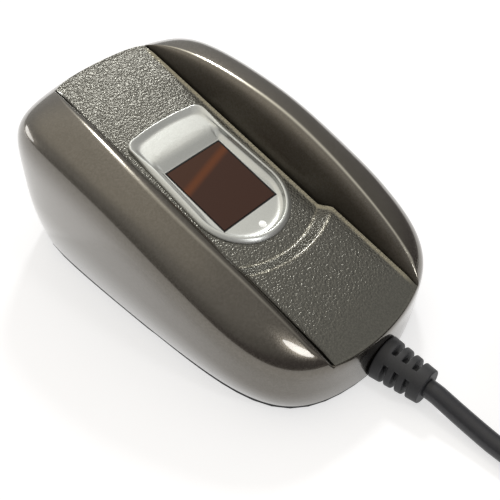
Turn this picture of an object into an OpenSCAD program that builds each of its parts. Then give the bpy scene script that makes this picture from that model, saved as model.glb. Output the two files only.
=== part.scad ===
// Desk fingerprint scanner: an arched two-wing shell over a sloping channel that
// carries the optical finger window, on a screwed base plate with a USB cable.

/* [Body] */
// Half width of the body at its base
base_half_w = 27.5; // [24:0.5:34]
// Distance from the hub point to the back wall
back_reach = 43.1; // [38:0.1:52]
// Distance from the hub point to the front wall
front_reach = 49.8; // [44:0.1:60]
// Plan radius of the long sides
side_arc_r = 900; // [300:50:1500]
// Plan radius of the back wall
back_arc_r = 45.7; // [40:0.1:80]
// Plan radius of the front wall
front_arc_r = 54.8; // [52:0.1:90]
// Squareness of the back corners in plan
back_corner = 7; // [4:0.5:14]
// Squareness of the front corners in plan
front_corner = 11; // [4:0.5:16]
// How far the sides swell beyond the base
side_swell = 2; // [0:0.1:3]
// Crown height over the hub point
crown_h = 33.2; // [30:0.1:42]
// Fall of the crown over one crown reach
crown_fall = 11.7; // [9:0.1:13]
// Extra arch of the crown over one crown reach
crown_arch = 5.7; // [4:0.1:7]
// Length over which fall and arch are given
crown_reach = 40; // [36:1:46]
// Share of the crown height at which the walls are widest
waist = 0.45; // [0.35:0.01:0.5]
// Squareness of the shoulders
shoulder = 5.7; // [4:0.1:7]
// Wall thickness of the shell
wall_t = 2; // [1.4:0.1:2.6]

/* [Channel and panel] */
// Height of the panel plane over the hub point
panel_h = 23.7; // [21:0.1:26]
// Slope of the panel down to the cable end, in degrees
slope = 17.3; // [12:0.1:20]
// Half width of the channel floor
channel_half_w = 13.65; // [12:0.05:16]
// Lean of the channel walls from upright, in degrees
channel_lean = 23; // [10:1:32]
// Rim of the shell that stands over the panel
rim_rise = 0.25; // [0.15:0.05:0.5]
// Panel thickness
panel_t = 2; // [1.2:0.1:2.6]
// Width of the ledge that carries the panel
ledge_w = 1.5; // [1:0.1:2.5]
// Thickness of that ledge
ledge_t = 1.2; // [0.8:0.1:2]
// Rise of the step behind the bezel
step_rise = 1.8; // [0.6:0.1:2.4]
// Place of the foot of the step along the slope
step_y = 18; // [16:0.1:20]
// Plan radius of the step
step_r = 24.5; // [18:0.5:40]
// Length of the sloping riser
step_run = 2.7; // [1:0.1:4]

/* [Bezel and window] */
// Radius of the round end of the bezel
bezel_r = 12.2; // [11:0.1:13]
// Place of the centre of that round end along the slope
bezel_y = 1.6; // [0:0.1:3]
// Half width of the bezel at its front corners
bezel_front_half_w = 11.4; // [10.5:0.1:12]
// Distance from the round end's centre to the front edge
bezel_front = 25; // [22:0.1:27]
// Corner radius at the front of the bezel
bezel_corner_r = 2.5; // [1.5:0.1:3.5]
// Height of the bezel lip over the panel
lip_rise = 0.8; // [0.4:0.1:1.4]
// Width of the lip
lip_w = 2; // [1.4:0.1:2.4]
// How far the lip overlaps the panel
lip_lap = 1.2; // [0.8:0.1:1.4]
// Thickness of the bezel below the panel plane
bezel_t = 2; // [1.8:0.1:3]
// Depth of the sunken land inside the lip
land_depth = 0.9; // [0.5:0.1:1.2]
// Finger window width
window_w = 16; // [12:0.1:17]
// Finger window length
window_l = 18.2; // [14:0.1:20]
// Place of the window's middle along the slope
window_y = -3.25; // [-5:0.05:-1]
// Width of the gasket round the window
gasket_w = 0.6; // [0.4:0.1:1]
// Thickness of the gasket
gasket_t = 0.8; // [0.5:0.1:1]
// Depth of the glass prism below the window
prism_h = 8.6; // [6:0.1:9]
// Radius of the status lens
status_r = 0.9; // [0.6:0.1:1.4]
// Place of the status lens along the slope
status_y = 9.8; // [8:0.1:10.5]

/* [Optics] */
// Wall of the optics housing
housing_wall = 1.8; // [1.2:0.1:2]
// Depth of the housing below the panel plane
housing_depth = 12; // [11.5:0.1:12.5]
// Thickness of the housing flange
flange_t = 1.5; // [1:0.1:2]
// Radius of the lens barrel
barrel_r = 3.2; // [2.4:0.1:3.6]
// Length of the lens barrel
barrel_l = 6.5; // [5:0.1:8]
// Depth of the lens axis below the panel plane
lens_depth = 5.6; // [5:0.1:6.5]
// Thickness of the small boards
thin_board_t = 1; // [0.6:0.1:1.2]

/* [Base] */
// Thickness of the rubber feet that shows
foot_show = 0.5; // [0.3:0.1:1]
// Radius of the rubber feet
foot_r = 4.5; // [3:0.1:5]
// Depth of the recess for a foot
foot_recess = 0.6; // [0.3:0.1:1]
// Thickness of the base plate
plate_t = 1.5; // [1.2:0.1:2]
// Inset of the base plate behind the shell wall
plate_inset = 0.5; // [0.3:0.1:1]
// Height of the main board over the base plate
board_rise = 2.4; // [2:0.1:4]
// Width of the main board
board_w = 36; // [30:1:37]
// Length of the main board
board_l = 58; // [50:1:60]
// Thickness of the main board
board_t = 1.6; // [1:0.1:2]
// Radius of the screw posts of the shell
post_r = 3; // [2.4:0.1:3.4]
// Shaft radius of the case screws
case_screw_r = 1.2; // [1:0.1:1.4]
// Shaft radius of the board screws
board_screw_r = 0.9; // [0.7:0.1:1]

/* [Cable] */
// Cable radius
cable_r = 2.1; // [1.8:0.05:2.3]
// Height of the cable axis where it leaves the wall
cable_z = 4.3; // [4.2:0.1:5.2]
// Radius of the strain relief at the wall
boot_r = 5; // [4:0.1:5.4]
// Radius of the strain relief at its end
boot_end_r = 3.9; // [3:0.1:4.4]
// Length of the strain relief
boot_l = 11; // [8:0.5:14]
// Number of flexing slots on each side
boot_slots = 3; // [2:1:5]
// Width of one slot
slot_w = 1.1; // [0.6:0.1:1.4]
// Mean radius of the coil
coil_r = 23.5; // [21:0.1:28]
// Turns in one layer of the coil
coil_turns = 2.5; // [1.5:1:3.5]
// Step between turns and between layers
coil_pitch = 5.3; // [5.2:0.1:7]
// Width of the tie round the coil
tie_w = 8; // [5:0.5:12]
// Thickness of the tie
tie_t = 0.6; // [0.4:0.1:1]
// Plug grip width
grip_w = 14; // [12:0.5:16]
// Plug grip thickness
grip_h = 6.2; // [5.6:0.1:6.3]
// Plug grip length
grip_l = 28; // [22:1:36]

/* [Fits] */
// Gap between pieces that drop into each other
fit_gap = 0.12; // [0.05:0.01:0.2]
// Gap round a screw shaft
screw_gap = 0.1; // [0.05:0.01:0.2]

/* [Hidden] */
$fn = 48;
plan_steps = 72;
wall_rings = 4;
dome_rings = 9;
roof_rings = 6;
hub_y = (front_reach - back_reach) / 2;
plate_z = foot_show;
shell_z = plate_z + plate_t;
board_z = shell_z + board_rise;
board_top = board_z + board_t;
board_y = -5;
seat_t = panel_t + ledge_t;
up = [0, sin(slope), cos(slope)];

// Plan outline of the base, as a distance from the hub at a bearing
function arc_hit(cx, cy, r, t) = let (b = cx * cos(t) + cy * sin(t))
    b + sqrt(b * b - cx * cx - cy * cy + r * r);
function blend(a, b, n) = pow(pow(a, -n) + pow(b, -n), -1 / n);
function fold(t) = t > 90 ? 180 - t : t;
function side_hit(t) = arc_hit(base_half_w - side_arc_r, 0, side_arc_r, t);
function rim_r(t) = t > 0
    ? blend(side_hit(t), arc_hit(0, back_reach - back_arc_r, back_arc_r, t), back_corner)
    : blend(side_hit(t), arc_hit(0, front_arc_r - front_reach, front_arc_r, t), front_corner);
function bearing(i) = -90 + i * 360 / plan_steps;
function rim(t) = rim_r(fold(t)) * [cos(t), sin(t)];

// Swollen outline: k runs from 0 at the base to 1 at the waist
function swell(k) = 1 + side_swell / base_half_w * (1 - (1 - k) * (1 - k));
function ring(t, k) = let (p = rim(t)) [p.x * swell(k), p.y];
function crown(y) = crown_h - crown_fall * y / crown_reach - crown_arch * pow(y / crown_reach, 2);
function dome_z(p, s) = crown(p.y) * (waist + (1 - waist) * pow(1 - pow(s, shoulder), 1 / shoulder));
function panel_z(y) = panel_h - y * tan(slope);

// Where the channel cuts the dome on each bearing
function cut_z(p) = max(panel_z(p.y) + (rim_rise + (p.y > 0 ? step_rise : 0)) / cos(slope),
                        panel_z(p.y) + (abs(p.x) - channel_half_w) / tan(channel_lean));
function crest_share(t, lo = 0, hi = 1, n = 22) = n == 0 ? lo :
    let (m = (lo + hi) / 2, p = m * ring(t, 1))
    dome_z(p, m) > cut_z(p) ? crest_share(t, m, hi, n - 1) : crest_share(t, lo, m, n - 1);
crests = [for (i = [0 : plan_steps - 1]) crest_share(bearing(i))];

function on_plane(p, drop) = [p.x, p.y, panel_z(p.y)] - drop * up;
function end_share(i) = let (w = ring(bearing(i), 1))
    crests[i] - (w.y > 0 ? (rim_rise + step_rise) * sin(slope) / norm(w) : 0);
function foot_share(i) = min(end_share(i), channel_half_w / max(abs(ring(bearing(i), 1).x), 0.001));
function inner_share(i) = 1 - wall_t / norm(ring(bearing(i), 1));
function start_share(i) = let (w = norm(ring(bearing(i), 1)))
    min(foot_share(i) + wall_t / w, inner_share(i) - 0.2 / w);
function ledge_share(i) = let (w = norm(ring(bearing(i), 1)))
    min(foot_share(i) - ledge_w / w, start_share(i) - ledge_t / w);
function roof_z(p, s) = min(dome_z(p, s) - wall_t, panel_z(p.y) - seat_t / cos(slope)
    + max(0, abs(p.x) - channel_half_w - 1.1 * wall_t) / tan(channel_lean));

// One closed loop of the shell's section on bearing i, from the outer rim round to the inner rim
function shell_loop(i) = let (t = bearing(i), w = ring(t, 1), rise = waist * crown(w.y),
    turn = acos(pow(crests[i], shoulder / 2)), c = crests[i] * w, f = foot_share(i) * w,
    l = ledge_share(i) * w, s0 = start_share(i), s1 = inner_share(i)) concat(
    [for (j = [0 : wall_rings]) let (k = j / wall_rings, p = ring(t, k))
        [p.x, p.y, shell_z + (rise - shell_z) * k]],
    [for (j = [1 : dome_rings]) let (s = pow(cos(turn * j / dome_rings), 2 / shoulder), p = s * w)
        [p.x, p.y, dome_z(p, s)]],
    [on_plane(f, 0), on_plane(f, panel_t), on_plane(l, panel_t), on_plane(l, seat_t),
     on_plane(s0 * w, seat_t)],
    [for (j = [1 : roof_rings]) let (s = s0 + (s1 - s0) * pow(j / roof_rings, 0.7), p = s * w)
        [p.x, p.y, roof_z(p, s)]],
    [for (j = [wall_rings : -1 : 0]) let (k = 0.9 * j / wall_rings, p = s1 * ring(t, k))
        [p.x, p.y, shell_z + (rise - shell_z) * k]]);

// Closed skin over loops that join head to tail
module loop_skin(loops) {
    n = len(loops);
    m = len(loops[0]);
    faces = [for (i = [0 : n - 1]) for (j = [0 : m - 1])
        let (next = (i + 1) % n * m, k = (j + 1) % m, a = i * m + j, b = i * m + k, c = next + k, d = next + j)
        each [[a, b, c], [a, c, d]]];
    polyhedron([for (l = loops) each l], faces, convexity = 6);
}

// Round tube through points, with upright sections
function unit(v) = v / norm(v);
function heading(p, i, first, last) = i == 0 ? first : i == len(p) - 1 ? last : unit(p[i + 1] - p[i - 1]);
module tube(p, r, sides, first, last) {
    n = len(p);
    rings = [for (i = [0 : n - 1])
        let (h = heading(p, i, first, last), s = unit(cross(h, [0, 0, 1])), u = cross(s, h))
        each [for (k = [0 : sides - 1]) p[i] + r * (cos(360 * k / sides) * s + sin(360 * k / sides) * u)]];
    skin = [for (i = [0 : n - 2]) for (k = [0 : sides - 1])
        let (a = i * sides + k, b = i * sides + (k + 1) % sides)
        each [[a, b, b + sides], [a, b + sides, a + sides]]];
    caps = [for (k = [1 : sides - 2]) each [[0, k + 1, k], [0, k, k + 1] + (n - 1) * sides * [1, 1, 1]]];
    polyhedron(rings, concat(skin, caps), convexity = 8);
}

// Frames of reference: the hub point on the desk, and the panel plane over it
module placed() {
    translate([0, hub_y, 0]) children();
}
module on_slope() {
    placed() translate([0, 0, panel_h]) rotate([-slope, 0, 0]) children();
}
// A side profile in Y and Z, drawn across the width w
module across(w) {
    rotate([90, 0, 90]) linear_extrude(w, center = true) children();
}
module on_bosses(xs, ys) {
    for (x = xs) for (y = ys) translate([x, y, 0]) children();
}

// Shell: wings, shoulders, walls, ledge and screw posts
post_places = [[21, -34], [-21, -34], [19.5, 28], [-19.5, 28]];
function dome_at(p) = let (s = norm(p) / norm(ring(atan2(p.y, abs(p.x)), 1))) dome_z(p, s);
neck_r = cable_r + 1;
post_bore = 8;
module upper_shell() {
    color("#7a7264") placed() difference() {
        union() {
            loop_skin([for (i = [0 : plan_steps - 1]) shell_loop(i)]);
            for (p = post_places) translate([p.x, p.y, shell_z])
                cylinder(r = post_r, h = dome_at(p) - wall_t / 2 - shell_z);
        }
        for (p = post_places) translate([p.x, p.y, shell_z - 1])
            cylinder(r = case_screw_r + screw_gap, h = post_bore + 1);
        translate([0, back_reach - wall_t * 3, cable_z]) rotate([-90, 0, 0])
            cylinder(r = neck_r, h = wall_t * 4);
    }
}

// Panel that fills the channel, with its step and the opening for the bezel
flare_end = back_reach * 0.72;
module panel_outline_2d(gap, stretch) {
    polygon([for (i = [0 : plan_steps - 1])
        let (w = ring(bearing(i), 1), p = (foot_share(i) - gap / norm(w)) * w,
             x = min(abs(p.x), channel_half_w - fit_gap) * sign(p.x))
        [x * (p.y < flare_end ? stretch : 1), p.y / cos(slope)]]);
}
module panel_body() {
    side = channel_half_w - fit_gap;
    flare = step_rise * tan(channel_lean);
    translate([0, 0, -panel_t]) linear_extrude(panel_t) panel_outline_2d(fit_gap, 1);
    intersection() {
        linear_extrude(step_rise) panel_outline_2d(4 * fit_gap, 1 + flare / side);
        difference() {
            rotate([-90, 0, 0]) linear_extrude(2 * back_reach)
                polygon([[side, 0], [side + flare, -step_rise], [-side - flare, -step_rise], [-side, 0]]);
            translate([0, step_y - step_r, -0.01])
                cylinder(r1 = step_r, r2 = step_r + step_run, h = step_rise + 0.02, $fn = 96);
        }
    }
}
module center_panel() {
    color("#4d4a44") on_slope() difference() {
        panel_body();
        translate([0, 0, -panel_t - 1]) linear_extrude(panel_t + 2) bezel_2d(lip_lap);
    }
}

// Bezel outline, drawn in by d: round at the cable end, almost straight at the front
module bezel_2d(d) {
    front = bezel_y - bezel_front;
    c = bezel_corner_r;
    half = bezel_front_half_w - d;
    translate([0, bezel_y]) circle(bezel_r - d, $fn = 96);
    polygon([[bezel_r - d, bezel_y], [half, front + c + d], [half - c, front + d], [0, front + d - 0.6],
             [c - half, front + d], [-half, front + c + d], [d - bezel_r, bezel_y]]);
    for (s = [-1, 1]) translate([s * (half - c), front + c + d]) circle(c);
}
module window_2d(grow) {
    translate([0, window_y]) square([window_w + 2 * grow, window_l + 2 * grow], center = true);
}
front_land_y = window_y - window_l / 2 - 1.2;
optics_screw_places = [[8.6, -16.2], [-8.6, -16.2], [5.2, 9.7], [-5.2, 9.7]];
flange_front = -18;
rail_w = 0.7;
module sensor_bezel() {
    land_front = bezel_y - bezel_front + lip_w;
    color("#c8cac6") on_slope() difference() {
        union() {
            linear_extrude(lip_rise / 2) bezel_2d(0);
            translate([0, 0, lip_rise / 2]) linear_extrude(lip_rise / 2) bezel_2d(lip_rise / 2);
            translate([0, 0, -bezel_t]) linear_extrude(bezel_t) bezel_2d(lip_lap + fit_gap);
        }
        intersection() {
            translate([0, 0, -land_depth]) linear_extrude(lip_rise + land_depth + 1) bezel_2d(lip_w);
            across(3 * bezel_r) polygon([[front_land_y, -land_depth], [bezel_r * 2, -land_depth],
                [bezel_r * 2, lip_rise + 1], [land_front, lip_rise + 1], [land_front, lip_rise / 4]]);
        }
        translate([0, 0, -bezel_t - 1]) linear_extrude(bezel_t + 2) window_2d(gasket_w + 2 * fit_gap);
        translate([0, status_y, -bezel_t - 1]) cylinder(r = status_r + fit_gap / 2, h = bezel_t + 2);
        for (p = optics_screw_places) translate([p.x, p.y, -bezel_t - 0.01])
            cylinder(r = board_screw_r + screw_gap, h = bezel_t - land_depth - 0.3);
    }
    color("#c8cac6") on_slope() for (s = [-1, 1])
        translate([s * (window_w / 2 + gasket_w + 2 * fit_gap + rail_w / 2), window_y, -land_depth + 0.25])
            cube([rail_w, window_l, 0.5], center = true);
}

// Finger window: a glass prism with its sensing face up, in a soft black frame
prism_back = window_y + window_l / 2;
prism_front = window_y - window_l / 2;
prism_keel = prism_front + window_l * 0.35;
prism_z = -land_depth - prism_h;
prism_heel_z = -land_depth - prism_h * 0.2;
module sensor_prism() {
    color("#45302a") on_slope() across(window_w)
        polygon([[prism_front, -land_depth], [prism_front, prism_z], [prism_keel, prism_z],
                 [prism_back, prism_heel_z], [prism_back, -land_depth]]);
}
module prism_gasket() {
    color("#141414") on_slope() translate([0, 0, -land_depth - gasket_t - 0.05]) linear_extrude(gasket_t)
        difference() {
            window_2d(gasket_w + fit_gap);
            window_2d(fit_gap);
        }
}
module status_lens() {
    color("#e8ece8") on_slope() translate([0, status_y, -bezel_t]) {
        cylinder(r = status_r, h = bezel_t - land_depth);
        translate([0, 0, bezel_t - land_depth]) intersection() {
            translate([0, 0, -status_r]) sphere(r = status_r * sqrt(2));
            cylinder(r = status_r, h = status_r);
        }
    }
}

// Optics housing under the bezel: flange, box with prism rails, lens bore
box_w = window_w + 2 * (fit_gap + housing_wall);
box_front = prism_front - fit_gap - housing_wall;
box_back = prism_back + fit_gap + housing_wall;
rail_in = 1.4;
module optics_housing() {
    rail_y = prism_keel - prism_front;
    rail_z = (prism_z - housing_depth) / 2;
    color("#26272b") on_slope() difference() {
        union() {
            translate([0, 0, -bezel_t - flange_t]) linear_extrude(flange_t) intersection() {
                bezel_2d(lip_lap + 4 * fit_gap);
                translate([-bezel_r, flange_front]) square([2 * bezel_r, 2 * bezel_front]);
            }
            translate([-box_w / 2, box_front, -housing_depth])
                cube([box_w, box_back - box_front, housing_depth - max(bezel_t, panel_t) - 0.1]);
        }
        difference() {
            translate([0, 0, -housing_depth + housing_wall / 2]) linear_extrude(housing_depth)
                window_2d(fit_gap);
            for (s = [-1, 1]) translate([s * (window_w - rail_in) / 2, prism_front + rail_y / 2, rail_z])
                cube([rail_in + 4 * fit_gap, rail_y + 4 * fit_gap, housing_depth + prism_z], center = true);
        }
        translate([0, 0, -bezel_t - flange_t]) linear_extrude(flange_t + 1) window_2d(gasket_w + 2 * fit_gap);
        translate([0, flange_front - 1, -lens_depth]) rotate([-90, 0, 0])
            cylinder(r = barrel_r + fit_gap, h = box_front + housing_wall + 2 - flange_front);
        translate([0, status_y, -bezel_t - flange_t - 1]) cylinder(r = status_r, h = flange_t + 2);
        for (p = optics_screw_places) translate([p.x, p.y, -bezel_t - flange_t - 1])
            cylinder(r = board_screw_r + screw_gap, h = flange_t + 2);
    }
}

// Lighting board behind the sloping prism face
led_tilt = atan2(prism_heel_z - prism_z, prism_back - prism_keel);
led_h = 0.9;
led_gap = 0.4;
module on_led_face() {
    on_slope() translate([0, (prism_keel + prism_back) / 2, (prism_z + prism_heel_z) / 2])
        rotate([led_tilt, 0, 0]) translate([0, 0, -led_gap - led_h]) children();
}
module led_board() {
    color("#2f5d3a") on_led_face() translate([0, 0, -thin_board_t / 2])
        cube([window_w - 2 * fit_gap, 8, thin_board_t], center = true);
}
module illumination_leds() {
    color("#f0b070") on_led_face() on_bosses([-5, 0, 5], [-2, 2]) translate([0, 0, led_h / 2])
        cube([2, 1.3, led_h], center = true);
}

// Lens barrel with its square foot on the camera board
barrel_wall = 0.8;
lens_t = 2;
foot_l = 2;
foot_w = 2 * barrel_r + 0.4;
board_face = box_front - barrel_l;
camera_w = 14;
camera_drop = 6;
imager_w = 4.2;
imager_t = 0.8;
module lens_barrel() {
    color("#1c1c1e") on_slope() translate([0, board_face, -lens_depth]) difference() {
        union() {
            rotate([-90, 0, 0]) cylinder(r = barrel_r, h = barrel_l + housing_wall - fit_gap);
            translate([-foot_w / 2, 0, -foot_w / 2]) cube([foot_w, foot_l, foot_w]);
        }
        translate([0, -1, 0]) rotate([-90, 0, 0])
            cylinder(r = barrel_r - barrel_wall, h = barrel_l + housing_wall + 2);
        translate([-foot_w / 2 + 1, -1, -foot_w / 2 + 1]) cube([foot_w - 2, foot_l, foot_w - 2]);
    }
}
module lens_glass() {
    lens_r = barrel_r - barrel_wall - fit_gap / 2;
    color("#9fb4c4") on_slope() translate([0, board_face + barrel_l - barrel_wall, -lens_depth])
        rotate([-90, 0, 0]) intersection() {
            cylinder(r = lens_r, h = lens_t);
            translate([0, 0, lens_t - 2 * lens_r]) sphere(r = 2 * lens_r);
        }
}
module camera_board() {
    color("#2f5d3a") on_slope() translate([-camera_w / 2, board_face - thin_board_t, -lens_depth - camera_drop])
        cube([camera_w, thin_board_t, camera_drop + foot_w / 2]);
}
module image_sensor() {
    color("#2a2a2e") on_slope() translate([-imager_w / 2, board_face, -lens_depth - imager_w / 2])
        cube([imager_w, imager_t, imager_w]);
}
module optics_screws() {
    color("#b8b8b8") on_slope() for (p = optics_screw_places) translate([p.x, p.y, -bezel_t - flange_t]) {
        cylinder(r = board_screw_r, h = flange_t + bezel_t - land_depth - 0.5);
        translate([0, 0, -1.2]) cylinder(r = board_screw_r * 1.9, h = 1.2);
    }
}

// Base plate with foot recesses, countersunk screw holes, board bosses and clamp posts
foot_places = [[17, -41], [-17, -41], [12.5, 34.5], [-12.5, 34.5]];
board_boss_x = board_w / 2 - 3;
board_boss_y = [board_y - board_l / 2 + 4, board_y + board_l / 2 - 4];
clamp_x = 6.5;
clamp_y = back_reach - 9;
clamp_top = cable_z + cable_r;
boss_r = 2.5;
head_h = 1.2;
module plate_2d(grow) {
    polygon([for (i = [0 : plan_steps - 1]) let (p = rim(bearing(i))) p * (1 + grow / norm(p))]);
}
module base_plate() {
    color("#1d1d1f") placed() difference() {
        union() {
            translate([0, 0, plate_z]) linear_extrude(plate_t) plate_2d(-plate_inset);
            on_bosses([-board_boss_x, board_boss_x], board_boss_y) translate([0, 0, shell_z])
                cylinder(r = boss_r, h = board_rise);
            on_bosses([-clamp_x, clamp_x], [clamp_y]) translate([0, 0, shell_z])
                cylinder(r = boss_r, h = clamp_top - shell_z);
        }
        for (p = foot_places) translate([p.x, p.y, plate_z - 1])
            cylinder(r = foot_r + fit_gap, h = foot_recess + 1);
        for (p = post_places) translate([p.x, p.y, plate_z - 1]) {
            cylinder(r = case_screw_r + screw_gap, h = plate_t + 2);
            cylinder(r = case_screw_r * 2 + screw_gap, h = head_h + 1);
        }
        on_bosses([-board_boss_x, board_boss_x], board_boss_y) translate([0, 0, shell_z])
            cylinder(r = board_screw_r + screw_gap, h = board_rise + 1);
        on_bosses([-clamp_x, clamp_x], [clamp_y]) translate([0, 0, shell_z])
            cylinder(r = board_screw_r + screw_gap, h = clamp_top);
    }
}
module rubber_feet() {
    color("#303030") placed() for (p = foot_places) translate([p.x, p.y, 0])
        cylinder(r = foot_r, h = foot_show + foot_recess);
}
module case_screws() {
    color("#9a9a9a") placed() for (p = post_places) translate([p.x, p.y, plate_z]) {
        translate([0, 0, 0.2]) cylinder(r = case_screw_r * 2, h = head_h - 0.2);
        cylinder(r = case_screw_r, h = plate_t + post_bore - 1);
    }
}

// Main board and what is soldered to it
module main_board() {
    color("#1f6b3c") placed() difference() {
        translate([-board_w / 2, board_y - board_l / 2, board_z]) cube([board_w, board_l, board_t]);
        on_bosses([-board_boss_x, board_boss_x], board_boss_y) translate([0, 0, board_z - 1])
            cylinder(r = board_screw_r + screw_gap, h = board_t + 2);
    }
}
module board_screws() {
    color("#b8b8b8") placed() on_bosses([-board_boss_x, board_boss_x], board_boss_y)
        translate([0, 0, board_top]) {
            cylinder(r = board_screw_r * 2, h = 1);
            translate([0, 0, -board_t - 1.8]) cylinder(r = board_screw_r, h = board_t + 2);
        }
}
module on_board(x, y) {
    placed() translate([x, board_y + y, board_top]) children();
}
module controller_chip() {
    color("#202024") on_board(-5, -2) {
        translate([-5, -5, 0.1]) cube([10, 10, 1]);
        for (a = [0 : 90 : 270]) rotate([0, 0, a]) for (k = [-4 : 4])
            translate([k, 5.4, 0.15]) cube([0.4, 1.2, 0.3], center = true);
    }
}
module memory_chip() {
    color("#202024") on_board(8, -2) {
        translate([-2, -2.5, 0.1]) cube([4, 5, 1.2]);
        for (s = [-1, 1]) for (k = [-1.5 : 1.5]) translate([s * 2.5, 1.27 * k, 0.15])
            cube([1.2, 0.4, 0.3], center = true);
    }
}
module crystal_can() {
    color("#c0c0c4") on_board(-5, 9) {
        translate([-3, 0, 0]) cylinder(r = 2, h = 2.5);
        translate([3, 0, 0]) cylinder(r = 2, h = 2.5);
        translate([-3, -2, 0]) cube([6, 4, 2.5]);
    }
}
module board_passives() {
    color("#8a6f50") {
        for (k = [0 : 5]) on_board(-12 + 4 * k, 14) translate([-0.8, -0.4, 0]) cube([1.6, 0.8, 0.7]);
        for (k = [0 : 3]) on_board(13, -12 + 3 * k) translate([-0.4, -0.8, 0]) cube([0.8, 1.6, 0.7]);
    }
}
socket_h = 2.2;
socket_y = -24;
module ribbon_socket() {
    color("#e8e2d0") on_board(0, socket_y) difference() {
        translate([-7, -2, 0]) cube([14, 4, socket_h]);
        translate([-5.2, -0.3, 0.6]) cube([10.4, 0.6, socket_h]);
    }
}

// Flat ribbon from the camera board down into its socket
ribbon_t = 0.3;
ribbon_top = [(board_face - thin_board_t) * cos(slope) - (lens_depth + 5) * sin(slope),
              panel_h - (board_face - thin_board_t) * sin(slope) - (lens_depth + 5) * cos(slope)];
module camera_ribbon() {
    y0 = board_y + socket_y;
    z0 = board_top + 0.8;
    p = ribbon_top - [0.1, 0];
    lap = [sin(slope), cos(slope)] * 3;
    skin = [ribbon_t, 0];
    color("#d8d4c8") placed() across(10) polygon([[y0 - ribbon_t / 2, z0], [y0 + ribbon_t / 2, z0],
        [y0 + ribbon_t / 2, z0 + 4], p, p + lap - skin, p - skin, [y0 - ribbon_t / 2, z0 + 4 + ribbon_t]]);
}

// Cable header, its plug and the leads to the cable
header_y = 24;
header_l = 6;
header_h = 4;
lead_gap = 2;
lead_r = 0.5;
lead_count = 4;
module cable_header() {
    color("#efeadb") on_board(0, header_y) difference() {
        translate([-6, -header_l / 2, 0]) cube([12, header_l, header_h]);
        translate([-5, -header_l / 2 + 1, 0.8]) cube([10, header_l, header_h]);
    }
}
module header_plug() {
    color("#f6f4ea") on_board(0, header_y) translate([-5 + fit_gap, -header_l / 2 + 1 + fit_gap, 0.8])
        cube([10 - 2 * fit_gap, header_l, header_h - 1]);
}
inner_end = back_reach - 15;
plug_face = board_y + header_y + header_l / 2 + 1 + fit_gap;
function lead_x(k) = (k - (lead_count - 1) / 2) * lead_gap;
module lead_wires() {
    high = board_top + 0.8 + (header_h - 1) / 2;
    color("#c04a3a") placed() for (k = [0 : lead_count - 1]) let (x = lead_x(k), q = lead_x(k) * 0.55)
        tube([[x, plug_face, high], [x, plug_face + 1.5, high], [q, inner_end - 1.5, cable_z],
              [q, inner_end, cable_z]], lead_r, 8, [0, 1, 0], [0, 1, 0]);
}
module inner_cable() {
    color("#2e2f33") placed() translate([0, inner_end, cable_z]) rotate([-90, 0, 0])
        cylinder(r = cable_r, h = boot_inner - inner_end);
}
module cable_clamp() {
    color("#3a3a3e") placed() difference() {
        translate([-clamp_x - boss_r, clamp_y - 2.5, clamp_top]) cube([2 * (clamp_x + boss_r), 5, 1.2]);
        on_bosses([-clamp_x, clamp_x], [clamp_y]) translate([0, 0, clamp_top - 1])
            cylinder(r = board_screw_r + screw_gap, h = 4);
    }
}
module clamp_screws() {
    color("#b8b8b8") placed() on_bosses([-clamp_x, clamp_x], [clamp_y]) translate([0, 0, clamp_top + 1.2]) {
        cylinder(r = board_screw_r * 2, h = 0.9);
        translate([0, 0, -4]) cylinder(r = board_screw_r, h = 4.1);
    }
}

// Strain relief: wall flanges with a neck between them, then collars parted by side slots
boot_inner = back_reach - wall_t - 2.1;
boot_tip = back_reach + boot_l;
boot_plate_t = 1.4;
boot_lug_t = 1.6;
slot_h = 5.2;
collar_pitch = (boot_l - boot_plate_t - 1) / (boot_slots + 0.5);
first_slot = back_reach + boot_plate_t + 1 + slot_w / 2;
module along_cable(y) {
    placed() translate([0, y, cable_z]) rotate([-90, 0, 0]) children();
}
lug_top = min(cable_z + neck_r, panel_z(back_reach - wall_t) - seat_t / cos(slope) - fit_gap);
module strain_relief() {
    color("#26272b") {
        difference() {
            union() {
                placed() translate([-neck_r - 1.2, boot_inner, cable_z - neck_r])
                    cube([2 * neck_r + 2.4, boot_lug_t, lug_top - cable_z + neck_r]);
                along_cable(boot_inner) cylinder(r = neck_r - fit_gap, h = back_reach - boot_inner + 0.2);
            }
            placed() translate([-boot_r, boot_inner - 1, 0]) cube([2 * boot_r, boot_l, shell_z + fit_gap]);
        }
        difference() {
            along_cable(back_reach + fit_gap) cylinder(r1 = boot_r, r2 = boot_end_r, h = boot_l - fit_gap);
            for (k = [0 : boot_slots - 1]) for (s = [-1, 1])
                placed() translate([s * (cable_r + 0.5 + boot_r), first_slot + k * collar_pitch, cable_z])
                    cube([2 * boot_r, slot_w, slot_h], center = true);
            placed() translate([-boot_r, back_reach, -1]) cube([2 * boot_r, boot_l + 1, 1.3]);
        }
    }
}

// Cable lying on the desk: points are absolute, on the axis of the cable
coil_floor = cable_r + tie_t + 0.1;
coil_x = -29;
coil_y = 102;
coil_out = coil_r + coil_turns * coil_pitch / 2;
coil_in = coil_r - coil_turns * coil_pitch / 2;
coil_lead = 2 * cable_r;
coil_start = [coil_x + coil_out, coil_y - coil_lead, coil_floor];
cable_route = [[0, 60, 4.1], [0.2, 64, 3.4], [0.4, 68, 2.8], [0.7, 73, 2.3], [0.9, 80, 2.15], [1, 86, 2.2],
               [1.1, 92, 2.5]];
module usb_cable() {
    color("#2e2f33") tube(concat([[0, hub_y + boot_tip, cable_z]], cable_route, [coil_start]),
        cable_r, 10, [0, 1, 0], [0, 1, 0]);
}

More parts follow.
